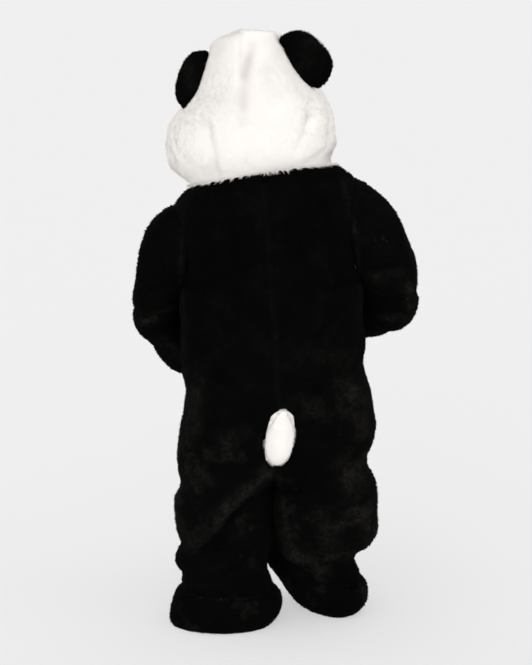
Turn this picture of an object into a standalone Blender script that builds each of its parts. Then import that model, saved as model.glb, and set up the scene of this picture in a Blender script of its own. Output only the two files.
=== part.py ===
"""A toddler's panda onesie in plush, size 86, filled out and posed as worn, with no wearer inside.

Units are metres. +Z is up, the garment's front faces -Y and its left side is +X. The origin is the
middle of the neck, between the shoulders, where the wearer carries the garment.

Every cloth piece is a closed wall: an outer grid of points on the shape that the garment takes, and
an inner grid one cloth thickness inside it. A point of the body is named by its side, by its place
round the half ring (0 centre back or inseam, 1 side seam, 2 centre front or inseam) and by its drop
below the neck.
"""

import math
from collections import namedtuple

import bmesh
import bpy
import numpy as np
from mathutils import Matrix, Vector
from mathutils.bvhtree import BVHTree

# ---------------------------------------------------------------- driving sizes

BODY_WALL = 0.006  # black plush, backing and pile together
HOOD_WALL = 0.008  # the white plush has the longer pile
SEAM = 0.0003  # gap between two pieces at a seam

CROTCH = 0.440  # drop of the crotch point
SEAT = 0.352  # drop at which the body starts to part into two legs
ANKLE = 0.597  # drop of the seam between a leg and its cuff
HEM = 0.650  # drop of the leg hems, which reach the floor

ARMHOLE_TOP = 0.022
ARMHOLE_LOW = 0.150
ARMHOLE_REACH = 0.28  # half the armhole's width, as a share of a half ring

ZIP_END = 0.330  # drop of the zip's lower end
ZIP_HALF = 0.0052  # half the width left open between the fronts
FORK_SOFTNESS = 1.1
BOXY = 0.86  # power that squares a ring's corners a little; 1 is an ellipse

SHOULDER_TILT = 0.155  # the right shoulder is carried higher than the left
NECK_PITCH = 0.20  # the neck seam is lower in front
TILT_FADES = 0.200  # drop at which the tilt and pitch have gone

HEAD_ROLL = math.radians(9.0)
HEAD_TURN = math.radians(-9.0)

SLEEVE_SPRING = 1.5  # how far the sleeve head stands out before it turns down
SLEEVE_HEAD = 0.36  # share of the sleeve over which the armhole's shape rounds into the arm's
CUFF_SHARE = 0.085  # length of a wrist cuff, as a share of the sleeve

EAR_DEPTH = 0.024
EAR_SQUARE = 2.7  # power of an ear's outline; 2 is an ellipse
EAR_SEAT = 0.0006  # gap under the ears, which sit on curved cloth
TAIL_SEAT = 0.0015

COLUMNS = 10  # faces across a panel; the hood halves have twice as many
ARMHOLE_STEPS = 10  # faces down half an armhole; the sleeves have twice as many round them
SLEEVE_ROWS = 15
ELBOW_ROW = 8  # the row at which each sleeve, one piece of cloth, is parted into two solids
HOOD_ROWS = (0.0, 0.035, 0.07, 0.12, 0.19, 0.27, 0.36, 0.45, 0.54, 0.63, 0.72, 0.81, 0.89, 0.95, 1.0)

TAIL_AT = (-0.0155, 0.0, -0.350)
TAIL_LEAN = (-0.12, 0.0, 1.0)
TAIL_WIDE, TAIL_LONG, TAIL_DEEP = 0.041, 0.079, 0.026

CHAIN_WIDE, CHAIN_DEEP = 0.0052, 0.0021
CHAIN_PROUD = 0.0009  # how far the teeth stand out from the inside of the fronts
TAPE_WALL = 0.0009
SLIDER_AT = 0.010  # drop of the slider's top, with the zip done up
SLIDER_WIDE, SLIDER_LONG = 0.0086, 0.0110
PIVOT_DOWN = 0.0044  # the pull's hinge line, from the slider's top
PULL_OUT = 0.0024
PULL_WIDE, PULL_LONG, PULL_WALL = 0.0064, 0.0240, 0.0010

LEFT, RIGHT = "left", "right"
SIGN = {LEFT: 1.0, RIGHT: -1.0}

# ---------------------------------------------------------------- sections

# A row for each level of one half of the body, from the neck down to the hem. inner is the x of the
# centre seam, or of the inseam below the crotch; outer the x of the side seam; middle its y; back
# and front the y of the ring's ends. skew swings the inseam forwards and the side seam back.
Section = namedtuple("Section", "drop inner outer middle back front skew")

BODY = {
    LEFT: [
        Section(0.000, 0.0085, 0.1070, 0.000, 0.060, -0.060, 0),
        Section(0.010, 0.0085, 0.1190, 0.000, 0.069, -0.067, 0),
        Section(0.022, 0.0080, 0.1290, 0.000, 0.075, -0.073, 0),
        Section(0.060, 0.0060, 0.1270, 0.000, 0.084, -0.081, 0),
        Section(0.090, 0.0025, 0.1235, 0.000, 0.088, -0.085, 0),
        Section(0.120, -0.0010, 0.1210, 0.000, 0.090, -0.089, 0),
        Section(0.150, -0.0040, 0.1205, 0.000, 0.091, -0.093, 0),
        Section(0.190, -0.0070, 0.1215, 0.000, 0.091, -0.100, 0),
        Section(0.240, -0.0080, 0.1235, 0.000, 0.091, -0.107, 0),
        Section(0.280, -0.0090, 0.1225, 0.000, 0.096, -0.111, 0),
        Section(0.307, -0.0100, 0.1165, 0.000, 0.102, -0.111, 0),
        Section(0.340, -0.0110, 0.1215, 0.001, 0.110, -0.109, 0),
        Section(0.375, -0.0110, 0.1260, 0.002, 0.115, -0.105, 0),
        Section(0.398, -0.0100, 0.1285, 0.003, 0.115, -0.102, 0),
        Section(0.420, -0.0080, 0.1265, 0.003, 0.112, -0.098, 0),
        Section(0.440, -0.0055, 0.1260, 0.000, 0.105, -0.095, 0),
        Section(0.458, -0.0049, 0.1310, 0.003, 0.100, -0.089, 0),
        Section(0.480, -0.0028, 0.1315, 0.006, 0.093, -0.080, 0),
        Section(0.505, -0.0008, 0.1300, 0.008, 0.086, -0.072, 0),
        Section(0.530, 0.0008, 0.1250, 0.010, 0.080, -0.063, 0),
        Section(0.555, 0.0042, 0.1315, 0.012, 0.078, -0.056, 0),
        Section(0.580, 0.0010, 0.1225, 0.014, 0.072, -0.046, 0),
        Section(0.597, -0.0060, 0.1250, 0.015, 0.070, -0.042, 0),
        Section(0.606, -0.0145, 0.1330, 0.015, 0.076, -0.048, 0),
        Section(0.618, -0.0190, 0.1375, 0.015, 0.080, -0.052, 0),
        Section(0.634, -0.0150, 0.1410, 0.015, 0.081, -0.053, 0),
        Section(0.644, -0.0090, 0.1420, 0.015, 0.079, -0.051, 0),
        Section(0.650, -0.0030, 0.1395, 0.015, 0.075, -0.047, 0),
    ],
    RIGHT: [
        Section(0.000, 0.0085, -0.0900, 0.000, 0.060, -0.060, 0),
        Section(0.010, 0.0085, -0.1040, 0.000, 0.069, -0.067, 0),
        Section(0.022, 0.0080, -0.1170, 0.000, 0.075, -0.073, 0),
        Section(0.060, 0.0060, -0.1240, 0.000, 0.084, -0.081, 0),
        Section(0.090, 0.0025, -0.1260, 0.000, 0.088, -0.085, 0),
        Section(0.120, -0.0010, -0.1275, 0.000, 0.090, -0.089, 0),
        Section(0.150, -0.0040, -0.1285, 0.000, 0.091, -0.093, 0),
        Section(0.190, -0.0070, -0.1300, 0.000, 0.091, -0.100, 0),
        Section(0.240, -0.0080, -0.1360, 0.000, 0.091, -0.107, 0),
        Section(0.280, -0.0090, -0.1355, 0.000, 0.096, -0.111, 0),
        Section(0.307, -0.0100, -0.1430, 0.000, 0.102, -0.111, 0),
        Section(0.340, -0.0110, -0.1510, 0.001, 0.110, -0.109, 0),
        Section(0.375, -0.0110, -0.1495, 0.002, 0.115, -0.105, 0),
        Section(0.400, -0.0100, -0.1405, 0.001, 0.114, -0.101, 0),
        Section(0.418, -0.0080, -0.1445, -0.001, 0.111, -0.100, 0),
        Section(0.440, -0.0055, -0.1500, 0.000, 0.105, -0.095, 0),
        Section(0.458, -0.0059, -0.1530, -0.005, 0.096, -0.096, 0),
        Section(0.480, -0.0040, -0.1545, -0.012, 0.084, -0.101, 0),
        Section(0.505, -0.0020, -0.1545, -0.020, 0.070, -0.106, 0),
        Section(0.530, -0.0012, -0.1480, -0.028, 0.056, -0.110, -0.005),
        Section(0.546, -0.0022, -0.1370, -0.033, 0.042, -0.109, -0.010),
        Section(0.560, 0.0030, -0.1260, -0.038, 0.027, -0.107, -0.020),
        Section(0.580, 0.0030, -0.1270, -0.044, 0.015, -0.105, -0.035),
        Section(0.597, -0.0050, -0.1350, -0.048, 0.008, -0.106, -0.045),
        Section(0.606, -0.0120, -0.1420, -0.049, 0.012, -0.110, -0.048),
        Section(0.618, -0.0200, -0.1440, -0.049, 0.014, -0.113, -0.050),
        Section(0.634, -0.0310, -0.1400, -0.049, 0.013, -0.113, -0.050),
        Section(0.644, -0.0395, -0.1300, -0.049, 0.008, -0.108, -0.050),
        Section(0.650, -0.0470, -0.1180, -0.049, 0.000, -0.100, -0.050),
    ],
}

# The line down the middle of each sleeve, with its half widths: wide is across the arm in the plane
# in which it bends, deep at right angles to that.
Station = namedtuple("Station", "share x y z wide deep")

SLEEVE = {
    LEFT: [
        Station(0.00, 0.1110, 0.000, -0.088, 0.058, 0.042),
        Station(0.18, 0.1340, -0.006, -0.110, 0.0450, 0.046),
        Station(0.36, 0.1550, -0.018, -0.166, 0.0330, 0.047),
        Station(0.54, 0.1580, -0.042, -0.203, 0.0315, 0.043),
        Station(0.72, 0.1365, -0.088, -0.241, 0.0385, 0.036),
        Station(0.88, 0.1175, -0.130, -0.276, 0.0415, 0.042),
        Station(1.00, 0.0990, -0.156, -0.291, 0.032, 0.032),
        Station(1.10, 0.0830, -0.178, -0.301, 0.029, 0.029),
    ],
    RIGHT: [
        Station(0.00, -0.1070, 0.000, -0.080, 0.058, 0.042),
        Station(0.18, -0.1500, -0.006, -0.102, 0.0480, 0.046),
        Station(0.36, -0.1710, -0.015, -0.146, 0.0360, 0.048),
        Station(0.54, -0.1750, -0.042, -0.182, 0.0365, 0.046),
        Station(0.72, -0.1635, -0.088, -0.202, 0.0390, 0.041),
        Station(0.88, -0.1460, -0.132, -0.224, 0.039, 0.038),
        Station(1.00, -0.1330, -0.160, -0.238, 0.031, 0.031),
        Station(1.10, -0.1210, -0.185, -0.250, 0.029, 0.029),
    ],
}

# The hood, from the neck seam (rise 0) to the ridge over the crown (rise 1), before the head is rolled
# and turned. left and right are how far it reaches to each side, seam the x of the seam up its back.
# Each row runs from that seam round to the edge of the face opening, which is edge_x from the middle.
Course = namedtuple("Course", "rise left right seam back_y back_z edge_x edge_y edge_z")

HOOD = [
    Course(0.00, 0.0900, 0.0820, 0.000, 0.060, 0.012, 0.0052, -0.060, -0.012),
    Course(0.07, 0.1110, 0.0960, 0.002, 0.071, 0.018, 0.0200, -0.070, 0.008),
    Course(0.16, 0.1235, 0.1080, 0.006, 0.083, 0.030, 0.0420, -0.080, 0.019),
    Course(0.28, 0.1285, 0.1105, 0.009, 0.093, 0.046, 0.0620, -0.086, 0.034),
    Course(0.40, 0.1270, 0.1090, 0.006, 0.099, 0.074, 0.0720, -0.087, 0.058),
    Course(0.48, 0.1190, 0.1045, 0.003, 0.101, 0.094, 0.0740, -0.087, 0.075),
    Course(0.54, 0.1010, 0.0975, 0.000, 0.100, 0.112, 0.0725, -0.087, 0.089),
    Course(0.60, 0.0810, 0.0890, -0.003, 0.098, 0.129, 0.0680, -0.086, 0.102),
    Course(0.70, 0.0640, 0.0780, -0.005, 0.090, 0.155, 0.0600, -0.084, 0.122),
    Course(0.82, 0.0490, 0.0670, -0.006, 0.072, 0.181, 0.0460, -0.081, 0.143),
    Course(0.92, 0.0375, 0.0490, -0.005, 0.048, 0.1970, 0.0260, -0.077, 0.156),
    Course(1.00, -0.0040, 0.0040, -0.004, 0.030, 0.2045, 0.0000, -0.074, 0.162),
]

# Each ear: the middle of its base, the way its base runs, the way it stands, its length and height.
EARS = {
    LEFT: ((0.0900, 0.018, 0.1310), (0.31, 0.33, -0.89), (0.94, -0.02, 0.33), 0.083, 0.034),
    RIGHT: ((-0.0390, 0.031, 0.1550), (-0.700, 0.0, -0.714), (-0.71, 0.10, 0.70), 0.085, 0.044),
}

# Folds in the cloth, drawn on an elevation: across and up are the ends' x (or y, seen from a side)
# and z. A positive height is a ridge and a negative one a trough.
Fold = namedtuple("Fold", "seen across up to_across to_up width height")

BODY_FOLDS = [
    Fold("back", -0.085, -0.030, -0.098, -0.085, 0.012, -0.0040),
    Fold("back", -0.098, -0.085, -0.102, -0.140, 0.012, -0.0030),
    Fold("back", 0.000, -0.403, 0.025, -0.428, 0.012, 0.0060),
    Fold("back", 0.025, -0.428, 0.070, -0.468, 0.012, 0.0085),
    Fold("back", 0.070, -0.468, 0.118, -0.538, 0.012, 0.0080),
    Fold("back", 0.024, -0.448, 0.047, -0.478, 0.016, -0.0080),
    Fold("back", 0.045, -0.478, 0.078, -0.525, 0.020, -0.0110),
    Fold("back", 0.078, -0.525, 0.104, -0.560, 0.015, -0.0080),
    Fold("back", 0.018, -0.520, 0.060, -0.505, 0.010, 0.0030),
    Fold("back", 0.046, -0.372, 0.052, -0.402, 0.011, -0.0040),
    Fold("back", 0.090, -0.450, 0.120, -0.430, 0.011, -0.0045),
    Fold("back", -0.013, -0.425, -0.024, -0.481, 0.009, 0.0050),
    Fold("back", -0.024, -0.481, -0.034, -0.538, 0.009, 0.0060),
    Fold("back", -0.036, -0.545, -0.090, -0.590, 0.010, 0.0060),
    Fold("back", -0.014, -0.555, -0.060, -0.590, 0.011, -0.0060),
    Fold("back", -0.130, -0.520, -0.075, -0.528, 0.012, 0.0050),
    Fold("back", -0.122, -0.545, -0.070, -0.546, 0.009, -0.0055),
    Fold("back", -0.135, -0.405, -0.108, -0.375, 0.010, -0.0050),
    Fold("back", -0.060, -0.420, -0.085, -0.480, 0.014, -0.0035),
    Fold("back", 0.125, -0.400, 0.098, -0.380, 0.011, -0.0040),
    Fold("front", 0.000, -0.425, 0.075, -0.480, 0.015, 0.0060),
    Fold("front", 0.010, -0.450, 0.085, -0.510, 0.015, -0.0070),
    Fold("front", 0.000, -0.425, -0.080, -0.470, 0.015, 0.0060),
    Fold("front", -0.010, -0.450, -0.090, -0.500, 0.015, -0.0070),
    Fold("front", 0.105, -0.210, 0.050, -0.260, 0.014, -0.0040),
    Fold("front", -0.105, -0.190, -0.050, -0.235, 0.014, -0.0040),
    Fold("front", -0.125, -0.540, -0.040, -0.560, 0.011, -0.0055),
    Fold("front", 0.120, -0.555, 0.020, -0.570, 0.011, -0.0050),
    Fold("left", -0.080, -0.470, 0.080, -0.430, 0.013, -0.0050),
    Fold("left", -0.060, -0.530, 0.070, -0.530, 0.012, -0.0035),
    Fold("right", -0.100, -0.430, 0.080, -0.405, 0.013, -0.0050),
    Fold("right", -0.110, -0.505, 0.030, -0.520, 0.014, 0.0050),
]

HOOD_FOLDS = [
    Fold("back", 0.018, 0.180, 0.031, 0.145, 0.010, -0.0040),
    Fold("back", 0.031, 0.145, 0.036, 0.085, 0.010, -0.0030),
    Fold("back", 0.082, 0.075, 0.068, -0.002, 0.008, -0.0045),
    Fold("back", -0.060, 0.113, -0.058, 0.088, 0.008, -0.0045),
    Fold("back", -0.058, 0.088, -0.042, 0.048, 0.008, -0.0045),
    Fold("left", -0.050, 0.100, 0.020, 0.030, 0.012, -0.0040),
    Fold("right", -0.050, 0.110, 0.020, 0.040, 0.012, -0.0040),
]

SLEEVE_FOLDS = [
    Fold("back", 0.118, -0.178, 0.178, -0.182, 0.010, 0.0040),
    Fold("back", 0.116, -0.198, 0.176, -0.202, 0.010, -0.0055),
    Fold("back", 0.172, -0.226, 0.140, -0.262, 0.009, -0.0045),
    Fold("left", -0.075, -0.175, 0.010, -0.200, 0.010, -0.0045),
    Fold("front", 0.120, -0.200, 0.165, -0.210, 0.010, -0.0055),
    Fold("back", -0.162, -0.084, -0.130, -0.078, 0.010, -0.0040),
    Fold("back", -0.200, -0.160, -0.132, -0.153, 0.010, 0.0040),
    Fold("right", -0.040, -0.116, 0.045, -0.122, 0.024, 0.0045),
    Fold("back", -0.200, -0.176, -0.132, -0.171, 0.009, -0.0055),
    Fold("right", -0.080, -0.145, 0.010, -0.175, 0.010, -0.0045),
    Fold("front", -0.205, -0.175, -0.140, -0.180, 0.010, -0.0055),
]

VIEWS = {
    "back": (0, (0.0, 1.0, 0.0)),
    "front": (0, (0.0, -1.0, 0.0)),
    "left": (1, (1.0, 0.0, 0.0)),
    "right": (1, (-1.0, 0.0, 0.0)),
}

# ---------------------------------------------------------------- small maths


def smooth(keys, values, at):
    """A curve through the values at the rising keys, read at the numbers in at."""
    keys, values = np.asarray(keys, float), np.asarray(values, float)
    at = np.clip(np.asarray(at, float), keys[0], keys[-1])
    slopes = np.gradient(values, keys, axis=0)
    i = np.clip(np.searchsorted(keys, at, side="right") - 1, 0, len(keys) - 2)
    step = keys[i + 1] - keys[i]
    f = (at - keys[i]) / step
    if values.ndim > 1:
        step, f = step[..., None], f[..., None]
    return (
        values[i] * (1 + 2 * f) * (1 - f) ** 2
        + slopes[i] * step * f * (1 - f) ** 2
        + values[i + 1] * f * f * (3 - 2 * f)
        + slopes[i + 1] * step * f * f * (f - 1)
    )


def columns(table, at):
    """Each column but the first of a table of named rows, read at the numbers in at."""
    rows = np.array(table, float)
    return np.moveaxis(smooth(rows[:, 0], rows[:, 1:], at), -1, 0)


def ease(f):
    """0 to 1, level at both ends."""
    f = np.clip(f, 0.0, 1.0)
    return f * f * (3 - 2 * f)


def unit(v):
    return v / np.maximum(np.linalg.norm(v, axis=-1, keepdims=True), 1e-12)


def points(x, y, z):
    return np.stack(np.broadcast_arrays(x, y, z), axis=-1)


def normals(surface, a, b, step_a, step_b, sign):
    """Outward unit normals of surface(a, b), by small steps either way."""
    along_a = surface(a + step_a, b) - surface(a - step_a, b)
    along_b = surface(a, b + step_b) - surface(a, b - step_b)
    return sign * unit(np.cross(along_a, along_b))


def folded(place, normal, folds):
    """How far the folds move each place along its normal."""
    total = np.zeros(place.shape[:-1])
    for fold in folds:
        axis, facing = VIEWS[fold.seen]
        here = np.stack([place[..., axis], place[..., 2]], axis=-1)
        start = np.array([fold.across, fold.up])
        along = np.array([fold.to_across, fold.to_up]) - start
        f = np.clip((here - start) @ along / (along @ along), 0, 1)
        away = np.linalg.norm(here - start - f[..., None] * along, axis=-1)
        faces = np.clip(normal @ np.array(facing) * 1.6, 0, 1)
        total += fold.height * faces * np.exp(-((away / fold.width) ** 2))
    return total


# ---------------------------------------------------------------- the body's shape


def leg_share(half, drop):
    """0 where the body is one ring, 1 where it has parted into two legs: abruptly at the fork,
    smoothly away from it."""
    f = np.maximum((drop - SEAT) / (CROTCH - SEAT), 0)
    left = 1 - f * f
    round_off = (FORK_SOFTNESS * half) ** 2
    return 1 - np.sqrt(np.clip((left + np.sqrt(left * left + round_off**2)) / 2, 0, 1))


def section(side, drop):
    """A section's columns. Above the crotch both halves share all but the side seam."""
    own, other = (np.array(columns(BODY[k], drop)) for k in (side, RIGHT if side == LEFT else LEFT))
    shared = (own + other) / 2
    shared[1] = own[1]
    return np.where(drop <= CROTCH, shared, own)


def ring(side, s, drop):
    """A point of the body before its folds."""
    s = np.clip(s, 0, 2)
    inner, outer, middle, back, front, skew = section(side, drop)
    half = np.where(s <= 1, s, 2 - s)
    leg = leg_share(half, drop)
    depth = np.where(s <= 1, back - middle, front - middle)
    turn = half * np.pi / 2
    across = (1 - leg) * np.sin(turn) ** BOXY + leg * (1 - np.cos(2 * turn)) / 2
    deep = (1 - leg) * np.cos(turn) ** BOXY + leg * np.abs(np.sin(2 * turn)) ** BOXY
    zip_gap = ZIP_HALF * (1 - ease((drop - ZIP_END) / 0.012))
    gap = np.where(s <= 1, SEAM / 2, np.maximum(zip_gap, SEAM / 2)) * SIGN[side]
    x = inner + gap + (outer - inner - gap) * across
    y = middle + depth * deep + skew * (0.5 - across)
    fade = 1 - ease(drop / TILT_FADES)
    z = -drop + fade * (NECK_PITCH * y - SHOULDER_TILT * (x - BODY[side][0].inner))
    return points(x, y, z)


def ring_normal(side, s, drop):
    """The body's outward normal. At the centre seams it lies in the seam, as a mitre does."""
    n = normals(lambda a, b: ring(side, a, b), s, drop, 1e-3, 5e-4, SIGN[side])
    at_end = np.minimum(s, 2 - s) < 1e-6
    n[..., 0] = np.where(at_end & (drop < CROTCH - 1e-6), 0, n[..., 0])
    n[..., 1] = np.where(at_end & (drop > CROTCH + 1e-6), 0, n[..., 1])
    at_fork = (np.minimum(s, 2 - s) < 1e-2) & (np.abs(drop - CROTCH) < 1e-6)
    n[at_fork] = (-SIGN[side], 0, -1)
    level = drop > HEM - 1e-6
    n[..., 2] = np.where(level | (np.abs(drop - ANKLE) < 1e-3), 0, n[..., 2])
    return unit(n)


def body(side, s, drop):
    """(points, normals) of the body's outer surface."""
    s, drop = np.broadcast_arrays(np.asarray(s, float), np.asarray(drop, float))
    place, n = ring(side, s, drop), ring_normal(side, s, drop)
    near = np.minimum(np.minimum(np.abs(drop - ANKLE), HEM - drop), drop)
    quiet = 1 - np.exp(-((near / 0.008) ** 2))
    return place + n * (quiet * folded(place, n, BODY_FOLDS))[..., None], n


def seam_step(side, s, drop):
    """How far round the ring half a seam's gap is."""
    length = np.linalg.norm(ring(side, s + 1e-3, drop) - ring(side, s - 1e-3, drop), axis=-1)
    return 1e-3 * SEAM / np.maximum(length, 1e-5)


def armhole_reach(drop):
    """Half the armhole's width at a drop, in the units of s."""
    middle, half = (ARMHOLE_TOP + ARMHOLE_LOW) / 2, (ARMHOLE_LOW - ARMHOLE_TOP) / 2
    return ARMHOLE_REACH * np.sqrt(np.clip(1 - ((drop - middle) / half) ** 2, 0, 1))


# ---------------------------------------------------------------- the sleeves' shape


def sleeve_frames(side, count=111):
    """Places along a sleeve with its tangent, its upper or outer direction and the third one."""
    shares = np.linspace(0, SLEEVE[side][-1].share, count)
    centre = np.moveaxis(columns(SLEEVE[side], shares)[:3], 0, -1)
    tangent = unit(np.gradient(centre, axis=0))
    up = [unit(np.array([0.0, 0.0, 1.0]) - tangent[0][2] * tangent[0])]
    for t in tangent[1:]:
        up.append(unit(up[-1] - (up[-1] @ t) * t))
    up = np.array(up)
    return shares, np.stack([tangent, up, np.cross(tangent, up)], axis=1).reshape(count, 9)


def armhole(side, turn):
    """(points, normals) of the body round the armhole: turn is 0 at the shoulder, pi/2 behind."""
    middle, half = (ARMHOLE_TOP + ARMHOLE_LOW) / 2, (ARMHOLE_LOW - ARMHOLE_TOP) / 2
    return body(side, 1 - ARMHOLE_REACH * np.sin(turn), middle - half * np.cos(turn))


FRAMES = {side: sleeve_frames(side) for side in (LEFT, RIGHT)}


def arm_ring(side, turn, share):
    """A point of a plain tube along the sleeve's line."""
    shares, frames = FRAMES[side]
    x, y, z, wide, deep = columns(SLEEVE[side], share)
    frame = smooth(shares, frames, share).reshape(np.shape(share) + (3, 3))
    flat = points(0 * wide, wide * np.cos(turn), -SIGN[side] * deep * np.sin(turn))
    return points(x, y, z) + np.einsum("...i,...ij->...j", flat, frame)


def sleeve_ring(side, turn, share):
    """A point of a sleeve before its folds: a curve from the armhole runs on into the tube."""
    shares, frames = FRAMES[side]
    start = armhole(side, turn)[0]
    end = arm_ring(side, turn, SLEEVE_HEAD + 0 * share)
    reach = np.linalg.norm(end - start, axis=-1, keepdims=True)
    top = np.cos(turn)
    lead = unit(points(SIGN[side] * (0.60 + 0.30 * top), 0.12 * np.sin(turn), 0.27 * top - 0.70))
    onward = smooth(shares, frames, np.array(SLEEVE_HEAD)).reshape(3, 3)[0]
    q = np.clip(share / SLEEVE_HEAD, 0, 1)[..., None]
    head = (
        start * (1 + 2 * q) * (1 - q) ** 2
        + lead * reach * SLEEVE_SPRING * q * (1 - q) ** 2
        + end * q * q * (3 - 2 * q)
        + onward * reach * q * q * (q - 1)
    )
    tube = arm_ring(side, turn, np.maximum(share, SLEEVE_HEAD))
    return np.where(q < 1, head, tube)


def sleeve(side, turn, share, cuff_waves=0):
    """(points, normals) of a sleeve's outer surface, with gathers on a cuff."""
    turn, share = np.broadcast_arrays(np.asarray(turn, float), np.asarray(share, float))
    place = sleeve_ring(side, turn, share)
    n = normals(lambda a, b: sleeve_ring(side, a, b), turn, share, 1e-3, 2e-3, -SIGN[side])
    height = folded(place, n, SLEEVE_FOLDS) * ease(share / 0.15) * ease((1 - share) / 0.1)
    if cuff_waves:
        height = height + 0.0011 * np.cos(cuff_waves * turn)
    return place + n * height[..., None], n


# ---------------------------------------------------------------- the hood's shape


def head_matrix():
    return np.array(Matrix.Rotation(HEAD_TURN, 3, "Z") @ Matrix.Rotation(HEAD_ROLL, 3, "Y"))


def hood_ring(side, u, rise):
    """A point of the hood before its folds: u is 0 at the centre back and 1 at the face."""
    u = np.clip(u, 0, 1)
    rise = np.clip(rise, 0, 1)
    left, right, seam, back_y, back_z, edge_x, edge_y, edge_z = columns(HOOD, rise)
    wide = np.maximum((left - seam) if side == LEFT else (right + seam), 0)
    edge = edge_x + SIGN[side] * (1 - rise) * ((left - right) / 2 - seam)
    last = np.pi - np.arcsin(np.clip(edge / np.maximum(wide, 1e-6), 0, 1))
    turn = u * last
    depth = (back_y - edge_y) / (1 - np.cos(last))
    f = (1 - np.cos(turn)) / (1 - np.cos(last))
    x = SIGN[side] * (wide * np.sin(turn) + SEAM * 0.65) + seam
    y = back_y - depth * (1 - np.cos(turn))
    z = back_z + (edge_z - back_z) * f ** (1 + 1.6 * rise)
    head = points(x, y, z) @ head_matrix().T + np.array([BODY[LEFT][0].inner, 0, 0])
    neck = ring(side, 2 * u, np.zeros_like(u))
    w = ease(rise / 0.12)[..., None]
    return (1 - w) * neck + w * head


def hood(side, u, rise):
    """(points, normals) of the hood's outer surface."""
    u, rise = np.broadcast_arrays(np.asarray(u, float), np.asarray(rise, float))
    place = hood_ring(side, u, rise)
    inside_u, inside_rise = np.clip(u, 0.02, 0.98), np.clip(rise, 0.004, 0.985)
    n = normals(lambda a, b: hood_ring(side, a, b), inside_u, inside_rise, 1e-3, 2e-3, -SIGN[side])
    at_seam = (u < 1e-6) | (rise > 1 - 1e-6)
    across = head_matrix()[:, 0]
    n = np.where(at_seam[..., None], n - (n @ across)[..., None] * across, n)
    n = unit(n)
    height = folded(place, n, HOOD_FOLDS) * ease(rise / 0.1)
    return place + n * height[..., None], n


# ---------------------------------------------------------------- seams between unlike pieces


def mitre(n, m):
    """The direction and length in which two walls of unit thickness meet."""
    middle = unit(n + m)
    return middle / np.maximum((middle * n).sum(axis=-1, keepdims=True), 0.72)


def armhole_seam(side):
    """(points, wall directions, directions out along the sleeve, directions round) of the armhole."""
    turn = np.arange(2 * ARMHOLE_STEPS) * np.pi / ARMHOLE_STEPS
    place, on_body = armhole(side, turn)
    on_sleeve = sleeve(side, turn, np.full_like(turn, 0.03))[1]
    rim = mitre(on_body, on_sleeve)
    around = unit(np.roll(place, -1, axis=0) - np.roll(place, 1, axis=0))
    out = unit(np.cross(around, rim)) * SIGN[side]
    return place, rim, out, around


def neck_seam(side):
    """(points, wall directions, directions up into the hood) of the neck seam, by hood columns."""
    u = np.linspace(0, 1, 2 * COLUMNS + 1)
    place, on_body = body(side, 2 * u, 0 * u)
    on_hood = hood(side, u, np.full_like(u, 0.03))[1]
    rim = mitre(on_body, on_hood)
    rim[[0, -1], 0] = 0
    around = unit(np.gradient(place, axis=0))
    up = unit(np.cross(around, rim))
    up = up * np.sign(up[:, 2:3])
    return place, rim, up


# ---------------------------------------------------------------- making solids


def make(name, verts, faces, material):
    mesh = bpy.data.meshes.new(name)
    mesh.from_pydata([tuple(map(float, v)) for v in verts], [], faces)
    bm = bmesh.new()
    bm.from_mesh(mesh)
    bmesh.ops.recalc_face_normals(bm, faces=bm.faces)
    if bm.calc_volume(signed=True) < 0:
        bmesh.ops.reverse_faces(bm, faces=bm.faces)
    bm.to_mesh(mesh)
    bm.free()
    mesh.materials.append(material)
    obj = bpy.data.objects.new(name, mesh)
    ONESIE.objects.link(obj)
    return obj


def rim(verts, a, b, count):
    """The edge of a wall between two of its outer points, split the same way on both sides of a seam."""
    lean = (verts[b] - verts[a]) @ np.array([0.61, 0.33, 0.72])
    if lean < 0:
        a, b = b, a
    return [(a, b, b + count), (a, b + count, a + count)]


def wall(name, outer, inward, material, closed=False):
    """A wall from a grid of outer points and the vectors to its inner points."""
    rows, cols = outer.shape[:2]
    count = rows * cols
    verts = np.concatenate([outer.reshape(-1, 3), (outer + inward).reshape(-1, 3)])
    across = cols if closed else cols - 1
    faces = []
    for r in range(rows - 1):
        for c in range(across):
            a, b = r * cols + c, r * cols + (c + 1) % cols
            faces.append((a, b, b + cols, a + cols))
            faces.append((a + count, a + cols + count, b + cols + count, b + count))
    for r in (0, rows - 1):
        for c in range(across):
            faces += rim(verts, r * cols + c, r * cols + (c + 1) % cols, count)
    if not closed:
        for c in (0, cols - 1):
            for r in range(rows - 1):
                faces += rim(verts, r * cols + c, (r + 1) * cols + c, count)
    return make(name, verts, faces, material)


def prism(name, profile, half_width, frame, material):
    """A (down, out) profile drawn through the width, placed by frame: origin, across, down, out."""
    origin, across, down, out = frame
    verts = []
    for x in (-half_width, half_width):
        verts += [origin + across * x + down * d + out * o for d, o in profile]
    n = len(profile)
    faces = [tuple(range(n)), tuple(range(2 * n - 1, n - 1, -1))]
    faces += [(i, (i + 1) % n, (i + 1) % n + n, i + n) for i in range(n)]
    return make(name, verts, faces, material)


def cut_or_join(obj, tool, operation):
    """Join a solid to obj, or cut it away, and drop the tool."""
    modifier = obj.modifiers.new("shape", "BOOLEAN")
    modifier.object = tool
    modifier.operation = operation
    modifier.solver = "EXACT"
    shaped = bpy.data.meshes.new_from_object(obj.evaluated_get(bpy.context.evaluated_depsgraph_get()))
    obj.modifiers.clear()
    obj.data = shaped
    bpy.data.objects.remove(tool, do_unlink=True)


# ---------------------------------------------------------------- body, sleeves and cuffs


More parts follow.
